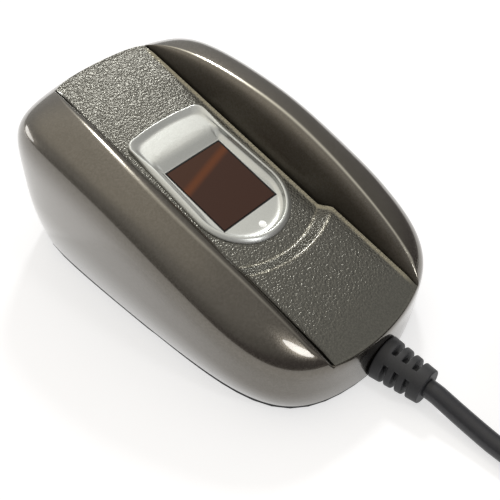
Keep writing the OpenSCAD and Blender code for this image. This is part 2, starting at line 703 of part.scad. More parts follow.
// Coil: layers that wind in and out in turn, each climb taking the half turn at a reversal.
// The last layer stops half a turn out, so that the plug lies on the layer below it.
coil_layers = 4;
coil_steps = 24;
last_turns = 0.5;
plug_lift = 0.4;
layer_turns = coil_turns + 0.5;
coil_total = (coil_layers - 1) * layer_turns + last_turns;
coil_count = round(coil_total * coil_steps);
function ease(k) = (1 - cos(180 * k)) / 2;
function coil_point(u) = let (i = min(floor(u / layer_turns), coil_layers - 1),
    v = min(u - i * layer_turns, coil_turns), k = max(0, u - i * layer_turns - coil_turns) / 0.5,
    r = i % 2 == 0 ? coil_out - coil_pitch * v : coil_in + coil_pitch * v,
    lift = i == coil_layers - 1 ? plug_lift * ease(v / last_turns) : 0)
    [coil_x + r * cos(360 * u), coil_y + r * sin(360 * u), coil_floor + coil_pitch * (i + ease(k)) + lift];
coil_top = coil_floor + coil_pitch * (coil_layers - 1);
coil_end = [coil_point(coil_total).x, coil_y - coil_lead, coil_top + plug_lift];
module cable_coil() {
    p = [for (i = [0 : coil_count]) coil_point(i / coil_steps)];
    far = coil_steps / 2;
    gaps = [for (i = [0 : coil_count - far]) for (j = [i + far : coil_count]) norm(p[i] - p[j]) - 2 * cable_r];
    echo(least_coil_gap = min(gaps));
    color("#2e2f33") tube(concat([coil_start], p, [coil_end]), cable_r, 6, [0, 1, 0], [0, -1, 0]);
}
module coil_tie() {
    inner_w = coil_out - coil_in + 2 * cable_r + 1;
    inner_h = coil_top - coil_floor + 2 * cable_r + 0.3;
    color("#1a1a1c") translate([coil_x, coil_y + coil_r, 0]) difference() {
        translate([-tie_w / 2, -inner_w / 2 - tie_t, 0])
            cube([tie_w, inner_w + 2 * tie_t, inner_h + 2 * tie_t]);
        translate([-tie_w / 2 - 1, -inner_w / 2, tie_t]) cube([tie_w + 2, inner_w, inner_h]);
    }
}

// USB plug: moulded grip, folded steel shell, tongue and four contacts
shell_w = 12;
shell_h = 4.5;
shell_t = 0.35;
shell_l = 12;
tongue_h = 1.9;
module at_plug() {
    translate(coil_end) rotate([0, 0, 180]) children();
}
module plug_grip() {
    r = grip_h / 2 - 0.01;
    color("#2e2f33") at_plug() {
        rotate([-90, 0, 0]) linear_extrude(grip_l) {
            square([grip_w - grip_h, grip_h - 0.02], center = true);
            for (s = [-1, 1]) translate([s * (grip_w - grip_h) / 2, 0]) circle(r);
        }
    }
}
module plug_shell() {
    color("#c4c6c8") at_plug() translate([0, grip_l, 0]) difference() {
        translate([-shell_w / 2, 0, -shell_h / 2]) cube([shell_w, shell_l, shell_h]);
        translate([-shell_w / 2 + shell_t, -1, -shell_h / 2 + shell_t])
            cube([shell_w - 2 * shell_t, shell_l + 2, shell_h - 2 * shell_t]);
        for (x = [-2.5, 2.5]) translate([x - 1.2, 4.5, -shell_h]) cube([2.4, 2.4, 2 * shell_h]);
    }
}
module plug_tongue() {
    rim = shell_t + fit_gap;
    color("#f2f2ee") at_plug() translate([-shell_w / 2 + rim, grip_l, -shell_h / 2 + rim])
        cube([shell_w - 2 * rim, shell_l - 0.5, tongue_h - fit_gap]);
}
module plug_contacts() {
    color("#d8b45a") at_plug() for (k = [-1.5 : 1.5])
        translate([2.25 * k - 0.6, grip_l + 1, -shell_h / 2 + shell_t + tongue_h])
            cube([1.2, shell_l - 3, 0.25]);
}

upper_shell();
center_panel();
sensor_bezel();
sensor_prism();
prism_gasket();
status_lens();
optics_housing();
led_board();
illumination_leds();
lens_barrel();
lens_glass();
camera_board();
image_sensor();
optics_screws();
base_plate();
rubber_feet();
case_screws();
main_board();
board_screws();
controller_chip();
memory_chip();
crystal_can();
board_passives();
ribbon_socket();
camera_ribbon();
cable_header();
header_plug();
lead_wires();
inner_cable();
cable_clamp();
clamp_screws();
strain_relief();
usb_cable();
cable_coil();
coil_tie();
plug_grip();
plug_shell();
plug_tongue();
plug_contacts();
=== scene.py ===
import math

import bmesh
import bpy
import numpy as np
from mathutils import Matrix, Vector


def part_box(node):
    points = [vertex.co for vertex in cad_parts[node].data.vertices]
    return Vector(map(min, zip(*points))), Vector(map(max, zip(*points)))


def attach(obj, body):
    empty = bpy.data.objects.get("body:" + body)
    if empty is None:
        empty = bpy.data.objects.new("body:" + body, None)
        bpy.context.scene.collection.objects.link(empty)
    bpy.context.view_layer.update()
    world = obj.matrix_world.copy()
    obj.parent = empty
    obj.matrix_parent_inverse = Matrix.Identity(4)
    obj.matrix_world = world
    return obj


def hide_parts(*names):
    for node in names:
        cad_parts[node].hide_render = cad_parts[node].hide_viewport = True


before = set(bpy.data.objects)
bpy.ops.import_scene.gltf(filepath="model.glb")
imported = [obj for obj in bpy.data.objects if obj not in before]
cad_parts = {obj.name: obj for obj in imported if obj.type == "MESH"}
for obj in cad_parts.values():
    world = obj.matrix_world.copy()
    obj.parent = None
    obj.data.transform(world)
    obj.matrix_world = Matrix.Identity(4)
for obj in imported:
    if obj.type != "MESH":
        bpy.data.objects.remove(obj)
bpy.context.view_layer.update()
print("frame loaded with", len(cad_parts), "nodes")

mm = 0.001  # pieces are sized in millimetres, their meshes are in metres


def hexLinear(code):  # sRGB hex to the linear colour that shaders take
    parts = [int(code[i:i + 2], 16) / 255 for i in (1, 3, 5)]
    return tuple(c / 12.92 if c <= 0.04045 else ((c + 0.055) / 1.055) ** 2.4 for c in parts) + (1.0,)


def addNode(tree, kind, links=None, **settings):  # links takes a socket to join or a value to set
    node = tree.nodes.new(kind)
    for key, value in settings.items():
        setattr(node, key, value)
    for name, source in (links or {}).items():
        if isinstance(source, bpy.types.NodeSocket):
            tree.links.new(source, node.inputs[name])
        else:
            node.inputs[name].default_value = source
    return node


def newMaterial(name, values):
    material = bpy.data.materials.new(name)
    material.use_nodes = True
    shader = material.node_tree.nodes["Principled BSDF"]
    for socket, value in values.items():
        shader.inputs[socket].default_value = value
    return material, material.node_tree, shader


def addObject(name, data):
    thing = bpy.data.objects.new(name, data)
    bpy.context.scene.collection.objects.link(thing)
    return thing


def smoothStep(low, high, value):
    share = np.clip((value - low) / (high - low), 0, 1)
    return share * share * (3 - 2 * share)


# Camera and stage, in metres: the photograph's view, on a white table
stageSet = {"cameraAt": (0.08898, 0.08831, 0.13223), "lookAt": (0, 0.00335, 0.012), "lens": 54.02,
            "shiftX": 0.0352, "shiftY": -0.0402, "nearClip": 0.005, "floorHalf": 4.0, "floorDrop": 0.0001,
            "floorColour": "#c4c4c6", "floorLift": 0.62}

camera = addObject("camera", bpy.data.cameras.new("camera"))
camera.location = stageSet["cameraAt"]
aim = Vector(stageSet["lookAt"]) - camera.location
camera.rotation_euler = aim.to_track_quat("-Z", "Y").to_euler()
camera.data.lens = stageSet["lens"]
camera.data.shift_x = stageSet["shiftX"]
camera.data.shift_y = stageSet["shiftY"]
camera.data.clip_start = stageSet["nearClip"]
bpy.context.scene.camera = camera
bpy.context.scene.view_settings.view_transform = "Standard"


def makeFloor():
    half, low = stageSet["floorHalf"], -stageSet["floorDrop"]
    corners = [(-half, -half, low), (half, -half, low), (half, half, low), (-half, half, low)]
    mesh = bpy.data.meshes.new("floor")
    mesh.from_pydata(corners, [], [(0, 1, 2, 3)])
    floor = addObject("floor", mesh)
    material, tree, shader = newMaterial("white laminate", {  # matte table top: only the shadow shows on it
        "Base Color": hexLinear(stageSet["floorColour"]), "Roughness": 0.9, "Specular IOR Level": 0.1,
        "Emission Color": (1, 1, 1, 1)})
    rays = addNode(tree, "ShaderNodeLightPath")  # lifts the table to white for the eye and in reflections
    seen = rays.outputs["Is Camera Ray"]
    for kind in ("Is Glossy Ray", "Is Transmission Ray"):
        either = addNode(tree, "ShaderNodeMath", {0: seen, 1: rays.outputs[kind]}, operation="MAXIMUM")
        seen = either.outputs[0]
    lift = addNode(tree, "ShaderNodeMath", {0: seen, 1: stageSet["floorLift"]}, operation="MULTIPLY")
    tree.links.new(lift.outputs[0], shader.inputs["Emission Strength"])
    mesh.materials.append(material)


roomSet = {"brightWay": (0.0, -0.45, 0.893), "low": (0.17, 0.155, 0.155, 1), "bright": (1.0, 0.95, 0.85, 1),
           "brightFrom": 0.95, "levels": ((0.35, 0.36), (0.66, 0.56)), "warmth": (1, 0.97, 0.92)}


def makeWorld():  # a dim room, brightest high up over the front of the body
    world = bpy.data.worlds.new("room")
    bpy.context.scene.world = world
    world.use_nodes = True
    tree = world.node_tree
    way = addNode(tree, "ShaderNodeTexCoord")
    toSky = addNode(tree, "ShaderNodeVectorMath", {0: way.outputs["Generated"], 1: roomSet["brightWay"]},
                    operation="DOT_PRODUCT")
    ramp = addNode(tree, "ShaderNodeValToRGB", {"Fac": toSky.outputs["Value"]})
    ramp.color_ramp.interpolation = "EASE"
    stops = ramp.color_ramp.elements
    stops[0].position, stops[0].color = 0.0, roomSet["low"]
    stops[1].position, stops[1].color = roomSet["brightFrom"], roomSet["bright"]
    for place, level in roomSet["levels"]:
        stops.new(place).color = (*(level * tint for tint in roomSet["warmth"]), 1)
    tree.links.new(ramp.outputs["Color"], tree.nodes["Background"].inputs["Color"])


lampAim = Vector((0, 0, 0.02))
softboxes = {  # place and size in metres, power in watts
    "keyLamp": {"at": (-0.585, -0.49, 0.79), "size": (0.14, 0.14), "power": 3.2},
    "backStrip": {"at": (-0.14, 0.77, 0.67), "size": (0.13, 0.34), "power": 1.1},
    "frontWindow": {"at": (0.46, -1.10, 0.17), "size": (0.5, 0.2), "power": 0.9},
}


def makeLights():
    for name, box in softboxes.items():
        light = bpy.data.lights.new(name, "AREA")
        light.shape = "ELLIPSE"
        light.size, light.size_y = box["size"]
        light.energy = box["power"]
        lamp = addObject(name, light)
        lamp.location = box["at"]
        lamp.rotation_euler = (lampAim - lamp.location).to_track_quat("-Z", "Y").to_euler()


makeFloor()
makeWorld()
makeLights()
print("stage, camera and", len(softboxes), "lamps set")


# Shared mesh helpers
def finishPiece(name, mesh, material, slot, *nodes, sharpAngle=32):
    shaped = bmesh.new()
    shaped.from_mesh(mesh)
    bmesh.ops.delete(shaped, geom=[v for v in shaped.verts if not v.link_faces], context="VERTS")
    bmesh.ops.remove_doubles(shaped, verts=shaped.verts, dist=1e-7)
    bmesh.ops.recalc_face_normals(shaped, faces=shaped.faces)
    shaped.to_mesh(mesh)
    shaped.free()
    mesh.polygons.foreach_set("use_smooth", [True] * len(mesh.polygons))
    mesh.set_sharp_from_angle(angle=math.radians(sharpAngle))
    if not mesh.materials:
        mesh.materials.append(material)
    piece = addObject(name, mesh)
    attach(piece, "root")
    if nodes:
        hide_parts(*nodes)
    print(name, "has", len(mesh.polygons), "faces")
    return piece


def loftMesh(name, loops, joinEnds=False):  # loops[i][j] in millimetres, every loop closed on itself
    points = np.asarray(loops, float)
    count, around = points.shape[:2]
    last = count if joinEnds else count - 1
    faces = [(i * around + j, i * around + (j + 1) % around, (i + 1) % count * around + (j + 1) % around,
              (i + 1) % count * around + j) for i in range(last) for j in range(around)]
    if not joinEnds:
        faces += [tuple(range(around)), tuple(range((count - 1) * around, count * around))]
    mesh = bpy.data.meshes.new(name)
    mesh.from_pydata((points.reshape(-1, 3) * mm).tolist(), [], faces)
    return mesh


def addAttribute(mesh, name, values):  # one number on each point, read by a material
    mesh.attributes.new(name, "FLOAT", "POINT").data.foreach_set("value", values.ravel())


# Sloped frame of the panel: x across, y along the slope, z out of it
slopeFrame = {"angle": math.radians(17.3), "height": 23.7, "hubY": 3.35}


def onSlope(x, y, z):
    s, c = math.sin(slopeFrame["angle"]), math.cos(slopeFrame["angle"])
    return np.stack([x, slopeFrame["hubY"] + y * c + z * s, slopeFrame["height"] - y * s + z * c], axis=-1)


# Materials
def objectPattern(tree, kind, sizeMm, **values):  # texture on Object coordinates, scaled from a real size
    place = addNode(tree, "ShaderNodeTexCoord")
    links = {"Vector": place.outputs["Object"], "Scale": 1 / (sizeMm * mm)}
    links.update(values)
    return addNode(tree, kind, links)


def mottled(tree, shader, pattern, low, high, roughLow, roughHigh):  # pattern value to colour and roughness
    colours = addNode(tree, "ShaderNodeValToRGB", {"Fac": pattern})
    colours.color_ramp.elements[0].color = hexLinear(low)
    colours.color_ramp.elements[1].color = hexLinear(high)
    tree.links.new(colours.outputs["Color"], shader.inputs["Base Color"])
    rough = addNode(tree, "ShaderNodeMapRange", {"Value": pattern, "To Min": roughLow, "To Max": roughHigh})
    tree.links.new(rough.outputs["Result"], shader.inputs["Roughness"])


def paintHighlightBy(tree, shader, attribute, colour):  # base colour turns to a painted highlight colour by the piece's attribute
    highlightMask = addNode(tree, "ShaderNodeAttribute", attribute_name=attribute)
    plain = shader.inputs["Base Color"].links[0].from_socket
    mix = {"Factor": highlightMask.outputs["Fac"], "A": plain, "B": hexLinear(colour)}
    blend = addNode(tree, "ShaderNodeMix", mix, data_type="RGBA", clamp_factor=True)
    tree.links.new(blend.outputs["Result"], shader.inputs["Base Color"])


# crest is the colour of the painted highlight line along the crests
paintSet = {"low": "#5c574e", "high": "#67625a", "crest": "#d6d2c4", "flake": 0.32, "metallic": 0.95,
            "rough": (0.20, 0.25), "dryRough": 0.2, "dryCoat": 0.1}


def metallicLacquer():  # sprayed bronze-grey lacquer under clear coat on ABS: deep gloss, fine sparkle
    p = paintSet
    material, tree, shader = newMaterial("metallic lacquer on ABS", {
        "Metallic": p["metallic"], "Coat Weight": 1.0, "Coat Roughness": 0.03, "Coat IOR": 1.55})
    flakes = objectPattern(tree, "ShaderNodeTexVoronoi", p["flake"])  # real flake is finer, coarse to show
    spark = addNode(tree, "ShaderNodeSeparateColor", {"Color": flakes.outputs["Color"]})
    mottled(tree, shader, spark.outputs[0], p["low"], p["high"], *p["rough"])
    paintHighlightBy(tree, shader, "paintedCrestHighlight", p["crest"])  # painted highlight: a light line painted along the crests
    wall = addNode(tree, "ShaderNodeAttribute", attribute_name="channelWall")  # dry spray in the channel
    plain = shader.inputs["Roughness"].links[0].from_socket
    dull = addNode(tree, "ShaderNodeMath", {0: wall.outputs["Fac"], 1: p["dryRough"], 2: plain},
                   operation="MULTIPLY_ADD")
    tree.links.new(dull.outputs[0], shader.inputs["Roughness"])
    coat = addNode(tree, "ShaderNodeMapRange", {"Value": wall.outputs["Fac"], "To Min": 1.0,
                   "To Max": p["dryCoat"]})
    tree.links.new(coat.outputs["Result"], shader.inputs["Coat Weight"])
    return material


# edge is the colour of the painted highlights on the turned-up sides and the step
grainSet = {"low": "#50504b", "high": "#75746d", "edge": "#96917f", "cell": 0.47, "wrinkle": 0.4,
            "depth": 0.125, "metallic": 0.85, "rough": (0.2, 0.34), "fadeFrom": 36.0, "fadeTo": 43.0,
            "fadeLeft": 0.05}


def grainedLacquer():  # leather-grained moulding under the same lacquer: pebbles that glint one by one
    g = grainSet
    material, tree, shader = newMaterial("grained lacquer on ABS", {
        "Metallic": g["metallic"], "Coat Weight": 0.5, "Coat Roughness": 0.1})
    pebbles = objectPattern(tree, "ShaderNodeTexVoronoi", g["cell"], Randomness=1.0)
    pebbles.feature = "SMOOTH_F1"
    wrinkles = objectPattern(tree, "ShaderNodeTexNoise", g["wrinkle"], Detail=2.0, Roughness=0.5)
    height = addNode(tree, "ShaderNodeMath", {0: wrinkles.outputs["Fac"], 1: pebbles.outputs["Distance"]},
                     operation="SUBTRACT")
    mottled(tree, shader, wrinkles.outputs["Fac"], g["low"], g["high"], *g["rough"])
    paintHighlightBy(tree, shader, "paintedEdgeHighlight", g["edge"])  # painted highlight: turned-up sides and the step's edges painted a warm light colour
    place = addNode(tree, "ShaderNodeTexCoord")
    parts = addNode(tree, "ShaderNodeSeparateXYZ", {"Vector": place.outputs["Object"]})
    fade = addNode(tree, "ShaderNodeMapRange", {  # grain dies out at the back
        "Value": parts.outputs["Y"], "From Min": g["fadeFrom"] * mm, "From Max": g["fadeTo"] * mm,
        "To Min": 1.0, "To Max": g["fadeLeft"]})
    bump = addNode(tree, "ShaderNodeBump", {"Height": height.outputs[0], "Distance": g["depth"] * mm,
                   "Strength": fade.outputs["Result"]})
    tree.links.new(bump.outputs["Normal"], shader.inputs["Normal"])
    return material


silverSet = {"low": "#c6c9c6", "high": "#dee1de", "powder": 0.22, "rough": (0.26, 0.36), "depth": 0.01}


def satinSilver():  # silver paint with fine aluminium powder: soft pearly sheen
    s = silverSet
    material, tree, shader = newMaterial("satin silver paint on ABS", {
        "Metallic": 0.8, "Coat Weight": 0.3, "Coat Roughness": 0.15})
    powder = objectPattern(tree, "ShaderNodeTexNoise", s["powder"], Detail=2.0)
    mottled(tree, shader, powder.outputs["Fac"], s["low"], s["high"], *s["rough"])
    bump = addNode(tree, "ShaderNodeBump", {"Height": powder.outputs["Fac"], "Distance": s["depth"] * mm})
    tree.links.new(bump.outputs["Normal"], shader.inputs["Normal"])
    return material


glassSet = {"glass": "#442a20", "front": "#4c3023", "band": "#6c3c20", "bandY": -8.4, "bandTilt": 0.2625,
            "bandHalf": 1.7, "bandCore": 0.1, "frontFrom": 1.0, "frontFull": -1.5}


def filterGlass():  # red filter glass: dark red-brown, polished face; the dull orange streak is painted light from inside, and the front is tinted redder
    g = glassSet
    material, tree, shader = newMaterial("red filter glass", {
        "Roughness": 0.04, "IOR": 1.52, "Specular IOR Level": 0.25})
    place = addNode(tree, "ShaderNodeTexCoord")
    parts = addNode(tree, "ShaderNodeSeparateXYZ", {"Vector": place.outputs["Object"]})
    along = parts.outputs["Y"]
    across = addNode(tree, "ShaderNodeMath", {0: parts.outputs["X"], 1: g["bandTilt"] / mm},
                     operation="MULTIPLY").outputs[0]
    for action, amount in (("SUBTRACT", slopeFrame["hubY"] * mm),  # mm along the slope, off the streak
                           ("DIVIDE", math.cos(slopeFrame["angle"]) * mm), ("SUBTRACT", across),
                           ("SUBTRACT", g["bandY"])):
        along = addNode(tree, "ShaderNodeMath", {0: along, 1: amount}, operation=action).outputs[0]
    away = addNode(tree, "ShaderNodeMath", {0: along}, operation="ABSOLUTE")
    band = addNode(tree, "ShaderNodeMapRange", {"Value": away.outputs[0], "From Min": g["bandHalf"],
                   "From Max": g["bandCore"]}, interpolation_type="SMOOTHSTEP")
    front = addNode(tree, "ShaderNodeMapRange", {"Value": along, "From Min": g["frontFrom"],
                    "From Max": g["frontFull"]}, interpolation_type="SMOOTHSTEP")
    body = addNode(tree, "ShaderNodeMix", {"Factor": front.outputs["Result"], "A": hexLinear(g["glass"]),
                   "B": hexLinear(g["front"])}, data_type="RGBA")
    # painted light: the orange streak stands in for light inside the glass
    paintedStreak = addNode(tree, "ShaderNodeMix", {"Factor": band.outputs["Result"], "A": body.outputs["Result"],
                     "B": hexLinear(g["band"])}, data_type="RGBA")
    tree.links.new(paintedStreak.outputs["Result"], shader.inputs["Base Color"])
    return material


# Plain finishes: two close colours, mottling size in mm, roughness range, depth in mm, other sockets
plainFinishes = {
    "moulded PVC": ("#2b2c2f", "#3a3b3e", 0.35, (0.45, 0.6), 0.015, {}),  # satin black, faintly orange-peeled
    "cable PVC": ("#26272b", "#313238", 0.8, (0.34, 0.46), 0.01, {"Coat Weight": 0.15}),  # longer sheen
    "textured black ABS": ("#1a1a1c", "#26262a", 0.3, (0.55, 0.75), 0.03, {}),  # spark-eroded mould face
    "soft rubber": ("#0e0e0f", "#1a1a1b", 0.4, (0.6, 0.8), 0.01, {}),  # dull and dark
    "grey foot rubber": ("#2a2a2b", "#393939", 0.5, (0.65, 0.85), 0.02, {}),  # dusty matte
    "milky acrylic": ("#eef0ec", "#fbfcfa", 0.5, (0.06, 0.12), 0.0, {
        "Coat Weight": 1.0, "Emission Color": (1, 1, 1, 1), "Emission Strength": 0.4}),  # lit status lamp
    "zinc plated steel": ("#a9aaa6", "#c9cac8", 0.3, (0.25, 0.4), 0.004, {"Metallic": 1.0}),  # soft shine
    "nickel plated steel": ("#bdbebf", "#d2d2d3", 0.6, (0.16, 0.26), 0.002, {"Metallic": 1.0}),  # cool mirror
    "gold plated bronze": ("#c79b3f", "#e0bd68", 0.5, (0.2, 0.3), 0.002, {"Metallic": 1.0}),  # warm contacts
    "green solder mask": ("#1c5a33", "#257042", 1.2, (0.3, 0.45), 0.01, {"Coat Weight": 0.3}),  # glossy board
    "black moulded epoxy": ("#191a1c", "#242528", 0.25, (0.5, 0.65), 0.01, {}),  # chip packages
    "ceramic body": ("#7d6242", "#957855", 0.3, (0.4, 0.55), 0.005, {}),  # small capacitors and resistors
    "ivory nylon": ("#dcd6c2", "#ebe6d6", 0.6, (0.35, 0.5), 0.005, {}),  # connectors, faintly translucent
    "white nylon": ("#e6e6e2", "#f4f4f0", 0.6, (0.35, 0.5), 0.005, {}),  # plug tongue, clean satin
    "amber epoxy lens": ("#d99a55", "#f0b878", 0.5, (0.1, 0.2), 0.0, {"Transmission Weight": 0.3}),  # lamps
    "coated lens glass": ("#8fa6ba", "#b4c6d4", 1.0, (0.03, 0.06), 0.0, {"Transmission Weight": 0.8}),  # blue
    "polyester film": ("#cbc6b8", "#dedaca", 1.0, (0.25, 0.4), 0.003, {"Coat Weight": 0.4}),  # flat ribbon
    "red wire insulation": ("#a8382b", "#c4493a", 0.6, (0.3, 0.45), 0.005, {}),  # waxy
}


def plainFinish(name):
    low, high, size, rough, depth, sockets = plainFinishes[name]
    material, tree, shader = newMaterial(name, sockets)
    mottle = objectPattern(tree, "ShaderNodeTexNoise", size, Detail=3.0)
    mottled(tree, shader, mottle.outputs["Fac"], low, high, *rough)
    if depth:
        bump = addNode(tree, "ShaderNodeBump", {"Height": mottle.outputs["Fac"], "Distance": depth * mm})
        tree.links.new(bump.outputs["Normal"], shader.inputs["Normal"])
    return material


finishes = {name: plainFinish(name) for name in plainFinishes}
finishes["lacquer"] = metallicLacquer()
finishes["grain"] = grainedLacquer()
finishes["silver"] = satinSilver()
finishes["glass"] = filterGlass()
print(len(finishes), "finishes made")

# Cable: the free run on the table, then the coil out of view
cableSet = {"radius": 2.1, "coilX": -29.0, "coilY": 102.0, "coilFloor": 2.8, "coilMean": 23.5,
            "coilTurns": 2.5, "coilPitch": 5.3, "climbTurns": 0.5, "layers": 4, "lastTurns": 0.5,
            "plugLift": 0.4, "stepsPerTurn": 48, "bevelSteps": 5}
cableRoute = [(0, 57.45, 4.3), (0, 58.7, 4.22), (0, 60, 4.1), (0.1, 62, 3.75), (0.2, 64, 3.4),
              (0.3, 66, 3.09), (0.4, 68, 2.8), (0.55, 70.5, 2.52), (0.7, 73, 2.3), (0.8, 76.5, 2.19),
              (0.9, 80, 2.15), (0.95, 83, 2.16), (1.0, 86, 2.2), (1.05, 89, 2.33), (1.1, 92, 2.5),
              (1.12, 95, 2.66)]
coilOut = cableSet["coilMean"] + cableSet["coilTurns"] * cableSet["coilPitch"] / 2
coilIn = cableSet["coilMean"] - cableSet["coilTurns"] * cableSet["coilPitch"] / 2
layerTurns = cableSet["coilTurns"] + cableSet["climbTurns"]
coilTotal = (cableSet["layers"] - 1) * layerTurns + cableSet["lastTurns"]


def ease(share):
    return (1 - math.cos(math.pi * share)) / 2


def coilPoint(turn):  # layers wind in and out in turn, each climb takes the half turn at a reversal
    c = cableSet
    layer = min(int(turn / layerTurns + 1e-9), c["layers"] - 1)
    wound = min(turn - layer * layerTurns, c["coilTurns"])
    climb = max(0, turn - layer * layerTurns - c["coilTurns"]) / c["climbTurns"]
    step = c["coilPitch"] * wound
    radius = coilOut - step if layer % 2 == 0 else coilIn + step
    onTop = layer == c["layers"] - 1
    lift = c["plugLift"] * ease(wound / c["lastTurns"]) if onTop else 0
    angle = 2 * math.pi * turn
    height = c["coilFloor"] + c["coilPitch"] * (layer + ease(climb)) + lift
    return c["coilX"] + radius * math.cos(angle), c["coilY"] + radius * math.sin(angle), height


def makeCable():
    lead = 2 * cableSet["radius"]
    count = round(coilTotal * cableSet["stepsPerTurn"])
    coil = [coilPoint(i / cableSet["stepsPerTurn"]) for i in range(count + 1)]
    start = (coil[0][0], coil[0][1] - lead, coil[0][2])
    end = (coil[-1][0], coil[-1][1] - lead, coil[-1][2])
    points = np.array(cableRoute + [start] + coil + [end]) * mm
    curve = bpy.data.curves.new("usbCable", "CURVE")
    curve.dimensions = "3D"
    curve.bevel_depth = cableSet["radius"] * mm
    curve.bevel_resolution = cableSet["bevelSteps"]
    curve.use_fill_caps = True
    line = curve.splines.new("POLY")
    line.points.add(len(points) - 1)
    line.points.foreach_set("co", np.c_[points, np.ones(len(points))].ravel())
    line.use_smooth = True
    curve.materials.append(finishes["cable PVC"])
    cable = addObject("usbCable", curve)
    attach(cable, "root")
    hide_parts("usb_cable", "cable_coil")
    length = float(np.linalg.norm(np.diff(points, axis=0), axis=1).sum())
    print("cable is", round(length, 3), "m long")
    return cable, points, length, np.array(end)


usbCable, cablePoints, cableLength, plugRoot = makeCable()

# Shell: two wings, shoulders and walls, cut by the leaning channel
shellSet = {"halfWidth": 27.5, "backReach": 43.1, "frontReach": 49.8, "sideArc": 900.0, "backArc": 45.7,
            "frontArc": 54.8, "backCorner": 7.0, "frontCorner": 11.0, "seamBlend": 0.5, "swell": 2.0,
            "crown": 33.2, "crownFall": 11.7, "crownArch": 5.7, "crownReach": 40.0, "waist": 0.45,
            "shoulder": 5.7, "backShoulder": 4.9, "endShoulder": 9.0, "sideBearings": (-20, 25),
            "endBearings": (40, 88), "wall": 2.0, "bottom": 2.0, "crestRound": 2.8, "endRound": 0.2,
            "wingRise": (0.02, 0.12), "crestDepth": 0.45, "roofEase": 0.7, "roofClear": 1.1, "leastRoof": 0.2,
            "innerTop": 0.9, "highlightAt": 0.125, "nearHighlight": 0.35, "dullSpan": (0.3, 0.75), "bearings": 560,
            "wallRings": 10, "domeRings": 34, "crestSteps": 16, "roofRings": 8, "innerRings": 4,
            "fineSteps": 20000, "halvings": 40}
channelSet = {"half": 13.65, "lean": math.radians(23), "rim": 0.04, "panel": 2.0, "ledge": 1.5,
              "ledgeDepth": 1.2, "stepRise": 1.8, "stepY": 18.0, "stepRadius": 24.5, "stepRun": 2.7,
              "gap": 0.4}
tanSlope, cosSlope, sinSlope = (f(slopeFrame["angle"]) for f in (math.tan, math.cos, math.sin))


def arcHit(cx, cy, radius, t):
    b = cx * np.cos(t) + cy * np.sin(t)
    return b + np.sqrt(b * b - cx * cx - cy * cy + radius * radius)


def rimPoint(t):  # plan outline of the base at a bearing
    s = shellSet
    folded = np.where(t > math.pi / 2, math.pi - t, t)
    side = arcHit(s["halfWidth"] - s["sideArc"], 0, s["sideArc"], folded)
    back = arcHit(0, s["backReach"] - s["backArc"], s["backArc"], folded)
    front = arcHit(0, s["frontArc"] - s["frontReach"], s["frontArc"], folded)
    back = (side ** -s["backCorner"] + back ** -s["backCorner"]) ** (-1 / s["backCorner"])
    front = (side ** -s["frontCorner"] + front ** -s["frontCorner"]) ** (-1 / s["frontCorner"])
    blend = smoothStep(-s["seamBlend"], s["seamBlend"], folded)  # no seam where the two halves meet
    radius = front + (back - front) * blend
    return np.stack([radius * np.cos(t), radius * np.sin(t)], axis=-1)


def crownAt(y):
    share = y / shellSet["crownReach"]
    return shellSet["crown"] - shellSet["crownFall"] * share - shellSet["crownArch"] * share ** 2


def shoulderAt(wide):  # rounder along the back half of the sides, tight across the back
    s = shellSet
    bearing = np.degrees(np.arctan2(wide[:, 1], np.abs(wide[:, 0])))
    sides = s["shoulder"] + (s["backShoulder"] - s["shoulder"]) * smoothStep(*s["sideBearings"], bearing)
    return sides + (s["endShoulder"] - sides) * smoothStep(*s["endBearings"], bearing)


def domeAt(points, share, power):
    top = (1 - np.clip(share, 0, 1) ** power) ** (1 / power)
    return crownAt(points[..., 1]) * (shellSet["waist"] + (1 - shellSet["waist"]) * top)


def panelAt(y):
    return slopeFrame["height"] - y * tanSlope


def cutAt(points):
    rise = channelSet["rim"] + np.where(points[..., 1] > 0, channelSet["stepRise"], 0)
    lean = (np.abs(points[..., 0]) - channelSet["half"]) / math.tan(channelSet["lean"])
    return panelAt(points[..., 1]) + np.maximum(rise / cosSlope, lean)


def evenBearings(count):  # bearings at even steps along the outline
    t = np.linspace(-math.pi / 2, 1.5 * math.pi, shellSet["fineSteps"] + 1)
    steps = np.linalg.norm(np.diff(rimPoint(t), axis=0), axis=1)
    along = np.concatenate([[0], np.cumsum(steps)])
    return np.interp(np.arange(count) * along[-1] / count, along, t)


def shellPlan(count):  # widest outline, and where crest and channel foot lie on each bearing
    t = evenBearings(count)
    base = rimPoint(t)
    wide = base * [1 + shellSet["swell"] / shellSet["halfWidth"], 1]
    power = shoulderAt(wide)
    low, high = np.zeros(count), np.ones(count)
    for _ in range(shellSet["halvings"]):  # closes in on the crest, where the crown meets the channel
        middle = (low + high) / 2
        points = middle[:, None] * wide
        under = domeAt(points, middle, power) > cutAt(points)
        low, high = np.where(under, middle, low), np.where(under, high, middle)
    reach = np.linalg.norm(wide, axis=1)
    drop = (channelSet["rim"] + channelSet["stepRise"]) * sinSlope / reach
    side = channelSet["half"] / np.maximum(np.abs(wide[:, 0]), 1e-3)
    foot = np.minimum(low - np.where(wide[:, 1] > 0, drop, 0), side)
    return base, wide, power, low, foot, reach


def onPlane(plan, depth):  # plan points dropped to a depth under the panel plane
    x, y = plan[:, 0], plan[:, 1]
    return np.stack([x, y - depth * sinSlope, panelAt(y) - depth * cosSlope], axis=-1)


